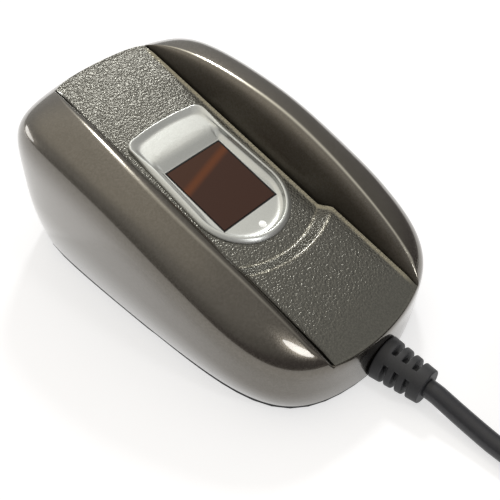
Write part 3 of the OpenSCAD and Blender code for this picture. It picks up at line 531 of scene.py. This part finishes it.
def makeShell():
    s, c = shellSet, channelSet
    base, wide, power, crest, foot, reach = shellPlan(s["bearings"])
    rise = s["waist"] * crownAt(wide[:, 1])
    loops = []

    def lift(plan, z):
        loops.append(np.stack([plan[:, 0], plan[:, 1], z], axis=-1))

    def wallRing(plan, k):  # k runs from the bottom to the waist, where the swell is widest
        spread = 1 + s["swell"] / s["halfWidth"] * (1 - (1 - k) ** 2)
        lift(plan * [spread, 1], s["bottom"] + (rise - s["bottom"]) * k)

    for j in range(s["wallRings"] + 1):  # outer wall
        wallRing(base, j / s["wallRings"])
    wing = smoothStep(*s["wingRise"], crest - foot)  # the ends of the channel keep a crisp edge
    soft = s["endRound"] + (s["crestRound"] - s["endRound"]) * wing
    start = np.minimum(crest + soft / reach, 0.5 * (1 + crest))
    turn = np.arccos(start ** (power / 2))
    for j in range(1, s["domeRings"] + 1):  # shoulder and crown
        share = np.cos(turn * j / s["domeRings"]) ** (2 / power)
        lift(share[:, None] * wide, domeAt(share[:, None] * wide, share, power))
    before = loops[-1]
    top = np.column_stack([crest[:, None] * wide, domeAt(crest[:, None] * wide, crest, power)])
    bottom = onPlane(foot[:, None] * wide, 0)
    length = np.linalg.norm(bottom - top, axis=1)
    after = top + (bottom - top) * np.minimum(s["crestDepth"], soft / length)[:, None]
    for j in range(1, s["crestSteps"] + 1):  # rounded crest
        k = j / s["crestSteps"]
        loops.append((1 - k) ** 2 * before + 2 * k * (1 - k) * top + k * k * after)
    loops.append(bottom)
    seat = c["panel"] + c["ledgeDepth"]
    inner = 1 - s["wall"] / reach
    first = np.minimum(foot + s["wall"] / reach, inner - s["leastRoof"] / reach)
    ledge = np.minimum(foot - c["ledge"] / reach, first - c["ledgeDepth"] / reach)
    for share, depth in ((foot, c["panel"]), (ledge, c["panel"]), (ledge, seat), (first, seat)):
        loops.append(onPlane(share[:, None] * wide, depth))  # groove wall, ledge under the panel, its edge
    for j in range(1, s["roofRings"] + 1):  # underside of the wings
        share = first + (inner - first) * (j / s["roofRings"]) ** s["roofEase"]
        plan = share[:, None] * wide
        beyond = np.abs(plan[:, 0]) - c["half"] - s["roofClear"] * s["wall"]
        deck = panelAt(plan[:, 1]) - seat / cosSlope + np.maximum(0, beyond) / math.tan(c["lean"])
        lift(plan, np.minimum(domeAt(plan, share, power) - s["wall"], deck))
    for j in range(s["innerRings"], -1, -1):  # inner wall
        wallRing(inner[:, None] * base, s["innerTop"] * j / s["innerRings"])
    highlightMask = np.zeros((len(loops), s["bearings"]))
    inside = np.zeros_like(highlightMask)
    # painted highlight, weaker on the near side
    highlightShare = wing * np.where(wide[:, 0] > 0, s["nearHighlight"], 1)
    crestStart = s["wallRings"] + s["domeRings"]
    for j in range(s["crestSteps"] + 1):  # painted highlight line along the crests, then the channel's dull wall
        k = j / s["crestSteps"]
        highlightMask[crestStart + j] = max(0, 1 - abs(k / s["highlightAt"] - 1)) * highlightShare
        inside[crestStart + j] = smoothStep(*s["dullSpan"], k)
    inside[crestStart + s["crestSteps"] + 1] = 1
    loops = np.array(loops) + [0, slopeFrame["hubY"], 0]
    mesh = loftMesh("upperShell", loops, joinEnds=True)
    addAttribute(mesh, "paintedCrestHighlight", highlightMask)
    addAttribute(mesh, "channelWall", inside)
    return finishPiece("upperShell", mesh, finishes["lacquer"], "upper_shell", "upper_shell")


makeShell()

# Bezel outline, round at the cable end, used by the panel's opening as well
bezelSet = {"round": 12.2, "roundY": 1.6, "frontHalf": 11.4, "front": 25.0, "corner": 2.5, "bow": 0.6,
            "glassW": 16.0, "glassL": 18.2, "glassY": -3.25, "frame": 0.42, "overlap": 0.44, "depth": 2.0,
            "land": -0.9, "landFront": 0.05, "landEdge": 0.03, "rampFrom": -15.6, "rampRun": 2.7,
            "frontFrom": -13.2, "outerFrontFull": -21.5, "innerFrontFull": -15.8, "outerLoops": 13,
            "backSpan": (-1.0, 4.0), "points": 360, "capPoints": 181, "cornerPoints": 31, "edgePoints": 61,
            "sideCuts": 23}


def bezelOutline(inset):
    b = bezelSet
    front = b["roundY"] - b["front"] + inset
    half = b["frontHalf"] - inset
    radius = b["round"] - inset
    arc = np.linspace(0, math.pi, b["capPoints"])
    cap = np.column_stack([radius * np.cos(arc), b["roundY"] + radius * np.sin(arc)])
    quarter = np.linspace(0, math.pi / 2, b["cornerPoints"])
    left = np.column_stack([b["corner"] - half - b["corner"] * np.cos(quarter),
                            front + b["corner"] - b["corner"] * np.sin(quarter)])
    x = np.linspace(b["corner"] - half, half - b["corner"], b["edgePoints"])
    edge = np.column_stack([x, front - b["bow"] * (1 - (x / (half - b["corner"])) ** 2)])
    right = left[::-1] * [-1, 1]
    return np.concatenate([cap, left, edge[1:-1], right])


def reachAt(outline, centreY, angles):  # distance from the glass centre to an outline at given angles
    shares = np.linspace(0, 1, bezelSet["sideCuts"] + 1)[:-1, None]  # each side of the outline is cut finely
    dense = np.concatenate([a + (b - a) * shares for a, b in zip(outline, np.roll(outline, -1, axis=0))])
    away = dense - [0, centreY]
    bearing = np.arctan2(away[:, 1], away[:, 0])
    order = np.argsort(bearing)
    return np.interp(angles, bearing[order], np.linalg.norm(away, axis=1)[order], period=2 * math.pi)


# Lip profiles as (inset, height) along the sides and across the front, with other insets at the cable end
sideLip = [(1.32, -2.0), (1.32, 0.02), (0, 0.02), (0, 0.1), (0.05, 0.2), (0.15, 0.3), (0.4, 0.46),
           (0.65, 0.61), (0.8, 0.69), (0.95, 0.735), (1.15, 0.75), (1.35, 0.74), (1.47, 0.68), (1.54, 0.5),
           (1.59, 0.15), (1.64, -0.2), (1.74, -0.4), (2.1, -0.54), (2.55, -0.7), (3.0, -0.85)]
backInsets = [d for d, z in sideLip[:16]] + [1.72, 1.9, 2.15, 2.46]
frontLip = [(1.32, -2.0), (1.32, 0.02), (0, 0.02), (0, 0.1), (0.04, 0.3), (0.1, 0.5), (0.18, 0.64),
            (0.28, 0.72), (0.38, 0.74), (0.5, 0.72), (0.75, 0.6), (1.0, 0.47), (1.25, 0.34), (1.45, 0.24),
            (1.6, 0.17), (1.75, 0.11), (1.9, 0.07), (2.1, 0.05), (2.4, 0.05), (2.64, 0.05)]
landShares = [0.2, 0.4, 0.58, 0.7, 0.78, 0.84, 0.89, 0.93, 0.965, 1.0]


def makeBezel():
    b = bezelSet
    halfW, halfL = b["glassW"] / 2 + b["frame"], b["glassL"] / 2 + b["frame"]
    corner = math.atan2(halfL, halfW)
    angles = np.linspace(-math.pi, math.pi, b["points"], endpoint=False)
    for turn in (corner, math.pi - corner, -corner, corner - math.pi):  # a vertex at each corner of the glass
        angles[np.argmin(np.abs(angles - turn))] = turn
    ray = np.column_stack([np.cos(angles), np.sin(angles)])
    lean = np.maximum(np.abs(ray), 1e-9)
    window = np.minimum(halfW / lean[:, 0], halfL / lean[:, 1])
    centre = [0, b["glassY"]]
    loops = []
    for index, ((sideIn, sideZ), (frontIn, frontZ), backIn) in enumerate(zip(sideLip, frontLip, backInsets)):
        reach = reachAt(bezelOutline(sideIn), b["glassY"], angles)
        along = b["glassY"] + reach * ray[:, 1]
        frontFull = b["outerFrontFull" if index < b["outerLoops"] else "innerFrontFull"]
        front = smoothStep(b["frontFrom"], frontFull, along)  # the outer edge changes slowly
        back = smoothStep(*b["backSpan"], along)
        reach += (reachAt(bezelOutline(frontIn), b["glassY"], angles) - reach) * front
        reach += (reachAt(bezelOutline(backIn), b["glassY"], angles) - reach) * back
        loops.append((centre + reach[:, None] * ray, sideZ + (frontZ - sideZ) * front))
    edge = np.linalg.norm(loops[-1][0] - centre, axis=1)
    for share in landShares:  # the land falls from the front to the glass
        reach = edge + (np.minimum(window, edge) - edge) * share
        plan = centre + reach[:, None] * ray
        fall = np.clip((plan[:, 1] - b["rampFrom"]) / b["rampRun"], 0, 1)
        loops.append((plan, b["landFront"] + (b["land"] - b["landFront"]) * fall))
    under = np.minimum(window + b["overlap"] / np.abs(ray).max(axis=1), edge)  # thin edge over the soft frame
    thin = b["land"] - b["landEdge"]
    for reach, z in ((window, thin), (under, thin), (under, -b["depth"])):
        loops.append((centre + np.minimum(reach, edge)[:, None] * ray, np.full(len(angles), z)))
    mesh = loftMesh("sensorBezel", [onSlope(p[:, 0], p[:, 1], z) for p, z in loops], joinEnds=True)
    return finishPiece("sensorBezel", mesh, finishes["silver"], "sensor_bezel", "sensor_bezel", sharpAngle=50)


makeBezel()

# Panel: a tray in the channel with turned-up sides, a curved step and the opening for the bezel
panelSet = {"lipRound": 1.6, "lipAngle": math.radians(38), "edgeRound": 0.7, "endRise": 0.6,
            "holeInset": 0.75, "overhang": 0.8, "overhangPower": 6, "lipDepth": 0.35, "lipMargin": 0.05,
            "lipFade": 4.0, "stepMargin": 0.3, "stepStraight": 0.75, "nearHighlight": 0.1, "stepHighlight": 0.3,
            "highlightRun": 0.6, "stepLine": (0.1, 0.45), "endFrom": 20.0, "frontSpill": 0.05, "backSpill": 0.8,
            "planPoints": 4000, "columns": 84, "lipSteps": 6, "edgeRows": 8, "frontRows": 170,
            "stepRows": 16, "backRows": 76}


def panelEdge(x, sign):  # front (-1) or back (1) edge of the panel along the slope, at places across it
    p, c = panelSet, channelSet
    _, wide, _, crest, _, reach = shellPlan(p["planPoints"])
    drop = (c["rim"] + c["stepRise"]) * sinSlope / reach
    plan = (crest - np.where(wide[:, 1] > 0, drop, 0))[:, None] * wide
    spill = p["backSpill"] if sign > 0 else p["frontSpill"]
    plan = plan[(sign * plan[:, 1] > p["endFrom"]) & (np.abs(plan[:, 0]) < c["half"] + spill)]
    plan = plan[np.argsort(plan[:, 0])]
    return np.interp(x, plan[:, 0], plan[:, 1] / cosSlope)


def makePanel():
    p, c = panelSet, channelSet
    side = c["half"] - c["gap"]
    flare = c["stepRise"] * math.tan(c["lean"])
    flat = side - p["lipRound"] * math.sin(p["lipAngle"])
    turns = np.linspace(0, p["lipAngle"], p["lipSteps"] + 1)[1:]
    lipX = flat + p["lipRound"] * np.sin(turns)
    lipZ = p["lipRound"] * (1 - np.cos(turns))
    x = np.concatenate([-lipX[::-1], np.linspace(-flat, flat, p["columns"]), lipX])
    rise = np.concatenate([lipZ[::-1], np.zeros(p["columns"]), lipZ])
    crestY = panelEdge(x, -1)
    front = crestY - p["overhang"] * (1 - np.abs(x / side) ** p["overhangPower"])
    back = panelEdge(x * (1 + flare / side), 1)
    stepFoot = c["stepY"] - c["stepRadius"] + np.sqrt(c["stepRadius"] ** 2 - x ** 2)
    stepTop = c["stepY"] - c["stepRadius"] + np.sqrt((c["stepRadius"] + c["stepRun"]) ** 2 - x ** 2)
    edge = np.linspace(0, 1, p["edgeRows"])[:-1] ** 2 * p["edgeRound"]  # close rows where the ends round over
    rows = [front + e for e in edge]
    margin = p["stepMargin"]
    for k in np.linspace(0, 1, p["frontRows"]):
        rows.append(front + p["edgeRound"] + (stepFoot - margin - front - p["edgeRound"]) * k)
    for k in np.linspace(0, 1, p["stepRows"]):
        rows.append(stepFoot - margin + (stepTop - stepFoot + 2 * margin) * k)
    for k in np.linspace(0, 1, p["backRows"])[1:]:
        rows.append(stepTop + margin + (back - p["edgeRound"] - stepTop - margin) * k)
    rows += [back - e for e in edge[::-1]]
    y = np.array(rows)
    climb = np.clip((y - stepFoot) / (stepTop - stepFoot), 0, 1)
    share = p["stepStraight"] * climb + (1 - p["stepStraight"]) * smoothStep(0, 1, climb)
    spread = 1 + flare / side * share
    near = np.minimum(y - front, back - y)
    fade = smoothStep(0, p["lipFade"], near)  # the turned-up sides run out at both ends
    z = c["stepRise"] * share + rise * fade + c["rim"] * (1 - smoothStep(0, p["endRise"], near))
    top = onSlope(x * spread, y, z)
    overhanging = y < crestY + p["lipMargin"]
    under = onSlope(x * spread, y, np.where(overhanging, -p["lipDepth"], -c["panel"]))
    across, away = np.broadcast_to(x, y.shape), y - bezelSet["glassY"]
    reach = reachAt(bezelOutline(p["holeInset"]), bezelSet["glassY"], np.arctan2(away, across).ravel())
    out = np.hypot(across, away) > reach.reshape(y.shape)  # clear of the bezel's opening
    keep = out[:-1, :-1] & out[1:, :-1] & out[:-1, 1:] & out[1:, 1:]
    count, wide = y.shape
    lower = count * wide
    faces, border = [], {}
    for i, j in zip(*np.nonzero(keep)):
        a, b = i * wide + j, (i + 1) * wide + j
        ring = (a, a + 1, b + 1, b)
        faces.append(ring)
        faces.append(tuple(v + lower for v in ring[::-1]))
        for v, w in zip(ring, ring[1:] + ring[:1]):
            if border.pop((w, v), None) is None:
                border[(v, w)] = True
    faces += [(w, v, v + lower, w + lower) for v, w in border]
    points = np.concatenate([top.reshape(-1, 3), under.reshape(-1, 3)]) * mm
    mesh = bpy.data.meshes.new("centerPanel")
    mesh.from_pydata(points.tolist(), [], faces)
    # painted highlight along the far turned-up side, weaker on the near side
    lip = flat + p["highlightRun"]
    edgeHighlight = (smoothStep(flat, lip, -x) + p["nearHighlight"] * smoothStep(flat, lip, x)) * fade
    for line in (stepFoot, stepTop):  # painted highlight: light lines painted on the step's two edges
        edgeHighlight = np.maximum(edgeHighlight, p["stepHighlight"] * (1 - smoothStep(*p["stepLine"], np.abs(y - line))))
    addAttribute(mesh, "paintedEdgeHighlight", np.tile(edgeHighlight.ravel(), 2))
    return finishPiece("centerPanel", mesh, finishes["grain"], "center_panel", "center_panel", sharpAngle=45)


makePanel()

# Strain relief: wall plate, then collars parted by slots, which leave two narrow spines, turned a little
bootSet = {"start": 46.57, "length": 10.88, "span": 11.0, "plate": 5.0, "end": 3.9, "core": 2.6, "bore": 1.9,
           "plateLength": 1.4, "slots": 3, "slot": 1.1, "slotFrom": 1.0, "slotBack": 0.12, "axisZ": 4.3,
           "floor": 0.3, "spine": math.radians(71), "spineEdge": 0.03, "turn": math.radians(-33),
           "round": 0.22, "endRound": 0.264, "hair": 0.01, "hub": 1.0, "sides": 120}


def makeBoot():
    b = bootSet
    first = b["plateLength"] + b["slotFrom"]
    pitch = (b["span"] - first) / (b["slots"] + 0.5)
    slots = [first + k * pitch - b["slotBack"] for k in range(b["slots"])]
    soft = [(0.0, 0.55), (0.3, 0.82), (0.65, 0.96), (1.0, 1.0)]  # rounded collar edge
    stations = [(0.0, 0.0), (0.0, 1.0)]  # distance from the wall, then 1 on a collar and 0 in a slot
    stations += [(2 * b["hair"] + b["round"] * q, h) for q, h in soft]
    for place in slots:
        stations += [(place - b["round"] * q, h) for q, h in soft[::-1]]
        stations += [(place + b["hair"], 0.0), (place + b["slot"] - b["hair"], 0.0)]
        stations += [(place + b["slot"] + b["round"] * q, h) for q, h in soft]
    stations += [(b["length"] - b["round"] * q, h) for q, h in soft[::-1]]
    around = np.linspace(0, 2 * math.pi, b["sides"], endpoint=False)
    sideways = np.abs(np.cos(around - b["turn"]))
    edgeAt = math.cos(b["spine"])
    slotted = smoothStep(edgeAt - b["spineEdge"], edgeAt + b["spineEdge"], sideways)
    loops = []
    for index, (along, height) in enumerate(stations):
        outer = b["plate"] + (b["end"] - b["plate"]) * along / b["length"]
        if index == 0:  # face on the wall
            radius = np.full(b["sides"], b["hub"])
        elif index < 2 + len(soft) or index >= len(stations) - len(soft):  # both ends have no slots
            radius = np.full(b["sides"], outer - b["endRound"] * (1 - height))
        else:
            radius = outer - slotted * (b["round"] * (1 - height) if height > 0 else outer - b["core"])
        z = np.maximum(b["axisZ"] + radius * np.sin(around), b["floor"])
        loops.append(np.column_stack([radius * np.cos(around), np.full(b["sides"], b["start"] + along), z]))
    loops.append(np.column_stack([b["bore"] * np.cos(around), np.full(b["sides"], b["start"] + b["length"]),
                                  b["axisZ"] + b["bore"] * np.sin(around)]))
    mesh = loftMesh("cableBoot", loops)
    material = finishes["moulded PVC"]
    return finishPiece("cableBoot", mesh, material, "strain_relief", "strain_relief", sharpAngle=40)


cableBoot = makeBoot()

# Coil tie: a thin band pulled tight round the bundle
tieSet = {"width": 8.0, "thick": 0.6, "gap": 0.07, "edge": 0.06, "margin": 1.0, "steps": 96}


def makeTie():
    t = tieSet
    low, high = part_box("coil_tie")
    middle = (low.x + high.x) / 2 / mm
    points = cablePoints / mm
    half = t["width"] / 2
    inTie = (np.abs(points[:, 0] - middle) < half + t["margin"]) & (points[:, 1] > low.y / mm)
    turns = np.linspace(0, 2 * math.pi, t["steps"], endpoint=False)
    ways = np.column_stack([np.cos(turns), np.sin(turns)])
    outermost = points[inTie, 1:][np.argmax(points[inTie, 1:] @ ways.T, axis=0)]
    inner = cableSet["radius"] + t["gap"]
    outer = inner + t["thick"]
    loops = []
    for radius, across in ((outer - t["edge"], -half), (outer, t["edge"] - half), (outer, half - t["edge"]),
                           (outer - t["edge"], half), (inner + t["edge"], half), (inner, half - t["edge"]),
                           (inner, t["edge"] - half), (inner + t["edge"], -half)):
        band = outermost + radius * ways
        loops.append(np.column_stack([np.full(t["steps"], middle + across), band]))
    mesh = loftMesh("coilTie", loops, joinEnds=True)
    return finishPiece("coilTie", mesh, finishes["black moulded epoxy"], "coil_tie", "coil_tie")


coilTie = makeTie()


# Geometry Nodes: copies of one shape, on four places or in a straight row
def newTree(name, inputs):  # a tree with named inputs for its sizes, and its input node
    tree = bpy.data.node_groups.new(name, "GeometryNodeTree")
    for label, kind in {"Geometry": "Geometry", **inputs, "Material": "Material"}.items():
        tree.interface.new_socket(label, in_out="INPUT", socket_type="NodeSocket" + kind)
    tree.interface.new_socket("Geometry", in_out="OUTPUT", socket_type="NodeSocketGeometry")
    return tree, addNode(tree, "NodeGroupInput")


def copyOnto(tree, given, points):  # one copy on each point, made real and painted
    copies = addNode(tree, "GeometryNodeInstanceOnPoints", {"Points": points,
                     "Instance": given.outputs["Geometry"]})
    real = addNode(tree, "GeometryNodeRealizeInstances", {"Geometry": copies.outputs[0]})
    painted = addNode(tree, "GeometryNodeSetMaterial", {"Geometry": real.outputs[0],
                      "Material": given.outputs["Material"]})
    addNode(tree, "NodeGroupOutput", {0: painted.outputs[0]})


def placesTree():  # two places at the front and two at the back
    names = ("Front Half Spread", "Back Half Spread", "Front Y", "Back Y")
    tree, given = newTree("fourPlaces", {name: "Float" for name in names})
    corners = addNode(tree, "GeometryNodeMeshGrid", {"Size X": 2.0, "Size Y": 2.0, "Vertices X": 2,
                      "Vertices Y": 2})
    place = addNode(tree, "GeometryNodeInputPosition")
    parts = addNode(tree, "ShaderNodeSeparateXYZ", {"Vector": place.outputs[0]})
    spread, along = (addNode(tree, "ShaderNodeMapRange", {
        "Value": parts.outputs["Y"], "From Min": -1.0, "From Max": 1.0, "To Min": given.outputs[front],
        "To Max": given.outputs[back]}) for front, back in (names[:2], names[2:]))
    across = addNode(tree, "ShaderNodeMath", {0: parts.outputs["X"], 1: spread.outputs["Result"]},
                     operation="MULTIPLY")
    spot = addNode(tree, "ShaderNodeCombineXYZ", {"X": across.outputs[0], "Y": along.outputs["Result"]})
    moved = addNode(tree, "GeometryNodeSetPosition", {"Geometry": corners.outputs["Mesh"],
                    "Position": spot.outputs[0]})
    copyOnto(tree, given, moved.outputs[0])
    return tree


def rowTree():
    tree, given = newTree("straightRow", {"Count": "Int", "Start": "Vector", "Step": "Vector"})
    row = addNode(tree, "GeometryNodeMeshLine", {"Count": given.outputs["Count"],
                  "Start Location": given.outputs["Start"], "Offset": given.outputs["Step"]})
    copyOnto(tree, given, row.outputs[0])
    return tree


fourPlaces = placesTree()
straightRow = rowTree()


def grow(mesh, tree, values):  # runs a tree on a mesh and gives back the plain result
    seed = addObject("seed", mesh)
    modifier = seed.modifiers.new("grow", "NODES")
    modifier.node_group = tree
    sockets = {item.name: item.identifier for item in tree.interface.items_tree if item.in_out == "INPUT"}
    for name, value in values.items():
        modifier[sockets[name]] = value
    graph = bpy.context.evaluated_depsgraph_get()
    grown = bpy.data.meshes.new_from_object(seed.evaluated_get(graph))
    seed.modifiers.remove(modifier)
    bpy.data.objects.remove(seed)
    return grown


def onFourPlaces(seed, at, material):  # at holds the half spreads and places of a front and a back pair
    return grow(seed, fourPlaces, {"Front Half Spread": at["front"] * mm, "Back Half Spread": at["back"] * mm,
                "Front Y": at["frontY"] * mm, "Back Y": at["backY"] * mm, "Material": material})


def latheMesh(name, profile, sides=48):  # profile of (radius, height) in mm, turned about Z, ends closed
    turn = np.linspace(0, 2 * math.pi, sides, endpoint=False)
    loops = [np.column_stack([r * np.cos(turn), r * np.sin(turn), np.full(sides, z)]) for r, z in profile]
    return loftMesh(name, loops)


# Feet and case screws under the base
footSet = {"front": 17.0, "back": 12.5, "frontY": -37.65, "backY": 37.85, "radius": 4.5, "height": 1.1}
screwSet = {"front": 21.0, "back": 19.5, "frontY": -30.65, "backY": 31.35, "head": 2.4, "shaft": 1.2,
            "low": 0.7, "skin": 0.05, "headTop": 1.7, "point": 0.6, "tipRadius": 0.4, "tip": 9.0,
            "slotW": 0.5, "slotL": 3.0, "slotDeep": 0.6}


def makeFeet():
    r, h = footSet["radius"], footSet["height"]
    seed = latheMesh("foot", [(r - 0.5, 0), (r - 0.2, 0.06), (r - 0.05, 0.2), (r, 0.4), (r, h)])
    mesh = onFourPlaces(seed, footSet, finishes["grey foot rubber"])
    return finishPiece("rubberFeet", mesh, finishes["grey foot rubber"], "rubber_feet", "rubber_feet")


def crossCut(mesh):  # presses a cross recess into a screw head that faces down
    s = screwSet
    faceTop = (s["low"] + s["skin"]) * mm
    shaped = bmesh.new()
    shaped.from_mesh(mesh)
    for size in ((s["slotL"], s["slotW"]), (s["slotW"], s["slotL"])):
        for axis in (0, 1):
            for sign in (-1, 1):
                normal = Vector((0, 0, 0))
                normal[axis] = sign
                low = [f for f in shaped.faces if f.calc_center_median().z < faceTop]
                geom = low + list({v for f in low for v in f.verts}) + list({e for f in low for e in f.edges})
                place = normal * (size[axis] / 2 * mm)
                bmesh.ops.bisect_plane(shaped, geom=geom, plane_co=place, plane_no=normal)

    def inCross(f):
        x, y, z = (abs(v) for v in f.calc_center_median())
        thin, long = s["slotW"] / 2 * mm, s["slotL"] / 2 * mm
        return z < faceTop and (x < long and y < thin or y < long and x < thin)

    pressed = bmesh.ops.extrude_face_region(shaped, geom=[f for f in shaped.faces if inCross(f)])
    for v in [g for g in pressed["geom"] if isinstance(g, bmesh.types.BMVert)]:
        v.co.z += s["slotDeep"] * mm
    bmesh.ops.delete(shaped, geom=[f for f in shaped.faces if inCross(f)], context="FACES")
    shaped.to_mesh(mesh)
    shaped.free()
    return mesh


def makeScrews():
    s = screwSet
    head, low, top = s["head"], s["low"], s["headTop"]
    profile = [(head - 0.25, low), (head - 0.06, low + 0.1), (head, low + 0.3), (head, top),
               (s["shaft"], top), (s["shaft"], s["tip"] - s["point"]), (s["tipRadius"], s["tip"])]
    seed = latheMesh("screw", profile, sides=36)
    mesh = onFourPlaces(crossCut(seed), s, finishes["zinc plated steel"])
    return finishPiece("caseScrews", mesh, finishes["zinc plated steel"], "case_screws", "case_screws")


makeFeet()
makeScrews()

# Plug grip: a soft moulded body with a narrow neck at the cable and finger ribs on its narrow sides
gripSet = {"width": 14.0, "height": 6.18, "length": 28.0, "corner": 2.6, "leastFlat": 0.01, "thin": 0.25,
           "sides": 64, "ribs": 6, "ribPitch": 2.0, "ribFirst": 9.0, "ribSink": 0.28}


def gripSection(width, height):  # rounded rectangle in x and z
    turn = np.linspace(0, 2 * math.pi, gripSet["sides"], endpoint=False)
    r = min(gripSet["corner"], height / 2 - gripSet["leastFlat"])
    return np.column_stack([np.sign(np.cos(turn)) * (width / 2 - r) + r * np.cos(turn),
                            np.sign(np.sin(turn)) * (height / 2 - r) + r * np.sin(turn)])


def makeGrip():
    g = gripSet
    end = g["length"]
    profile = [(0.0, 0.3), (0.0, 0.40), (0.15, 0.44), (1.6, 0.46), (3.4, 0.58), (5.4, 0.82), (7.4, 0.96),
               (9.0, 1.0), (end - 1.6, 1.0), (end - 0.5, 0.985), (end - 0.1, 0.955), (end, 0.90), (end, 0.2)]
    loops = []
    for along, share in profile:  # distance along the grip, share of its width
        height = g["height"] * min(1, g["thin"] + (1 - g["thin"]) * share)
        section = gripSection(g["width"] * share, height)
        loops.append(np.column_stack([plugRoot[0] + section[:, 0], np.full(g["sides"], plugRoot[1] - along),
                                      plugRoot[2] + section[:, 1]]))
    mesh = loftMesh("plugGrip", loops)
    return finishPiece("plugGrip", mesh, finishes["moulded PVC"], "plug_grip", "plug_grip", sharpAngle=40)


def makeGripRibs():
    g = gripSet
    material = finishes["moulded PVC"]
    outline = [(0.12, -2.2), (0.42, -1.9), (0.5, -1.5), (0.5, 1.5), (0.42, 1.9), (0.12, 2.2)]
    step = Vector((0, -g["ribPitch"], 0)) * mm
    pieces = []
    for name, side in (("plugRibsLeft", -1), ("plugRibsRight", 1)):
        out = side * (g["width"] / 2 - g["ribSink"])
        start = Vector((plugRoot[0] + out, plugRoot[1] - g["ribFirst"], plugRoot[2])) * mm
        seed = latheMesh("rib", outline, sides=16)
        sizes = {"Count": g["ribs"], "Start": start, "Step": step, "Material": material}
        pieces.append(finishPiece(name, grow(seed, straightRow, sizes), material, "plug_grip"))
    return pieces


plugGrip = makeGrip()
plugRibs = makeGripRibs()

# CAD pieces that keep their shape take the finish of what they are
nodeFinishes = {
    "glass": ["sensor_prism"],
    "soft rubber": ["prism_gasket"],
    "milky acrylic": ["status_lens"],
    "textured black ABS": ["base_plate", "optics_housing", "lens_barrel", "cable_clamp"],
    "green solder mask": ["led_board", "camera_board", "main_board"],
    "amber epoxy lens": ["illumination_leds"],
    "coated lens glass": ["lens_glass"],
    "black moulded epoxy": ["image_sensor", "controller_chip", "memory_chip"],
    "zinc plated steel": ["optics_screws", "board_screws", "clamp_screws"],
    "nickel plated steel": ["crystal_can", "plug_shell"],
    "ceramic body": ["board_passives"],
    "ivory nylon": ["ribbon_socket", "cable_header", "header_plug"],
    "white nylon": ["plug_tongue"],
    "polyester film": ["camera_ribbon"],
    "red wire insulation": ["lead_wires"],
    "cable PVC": ["inner_cable"],
    "gold plated bronze": ["plug_contacts"],
}
for finish, names in nodeFinishes.items():
    for name in names:
        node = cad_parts[name]
        node.data.materials.clear()
        node.data.materials.append(finishes[finish])
print("finishes on", sum(len(names) for names in nodeFinishes.values()), "carried pieces")
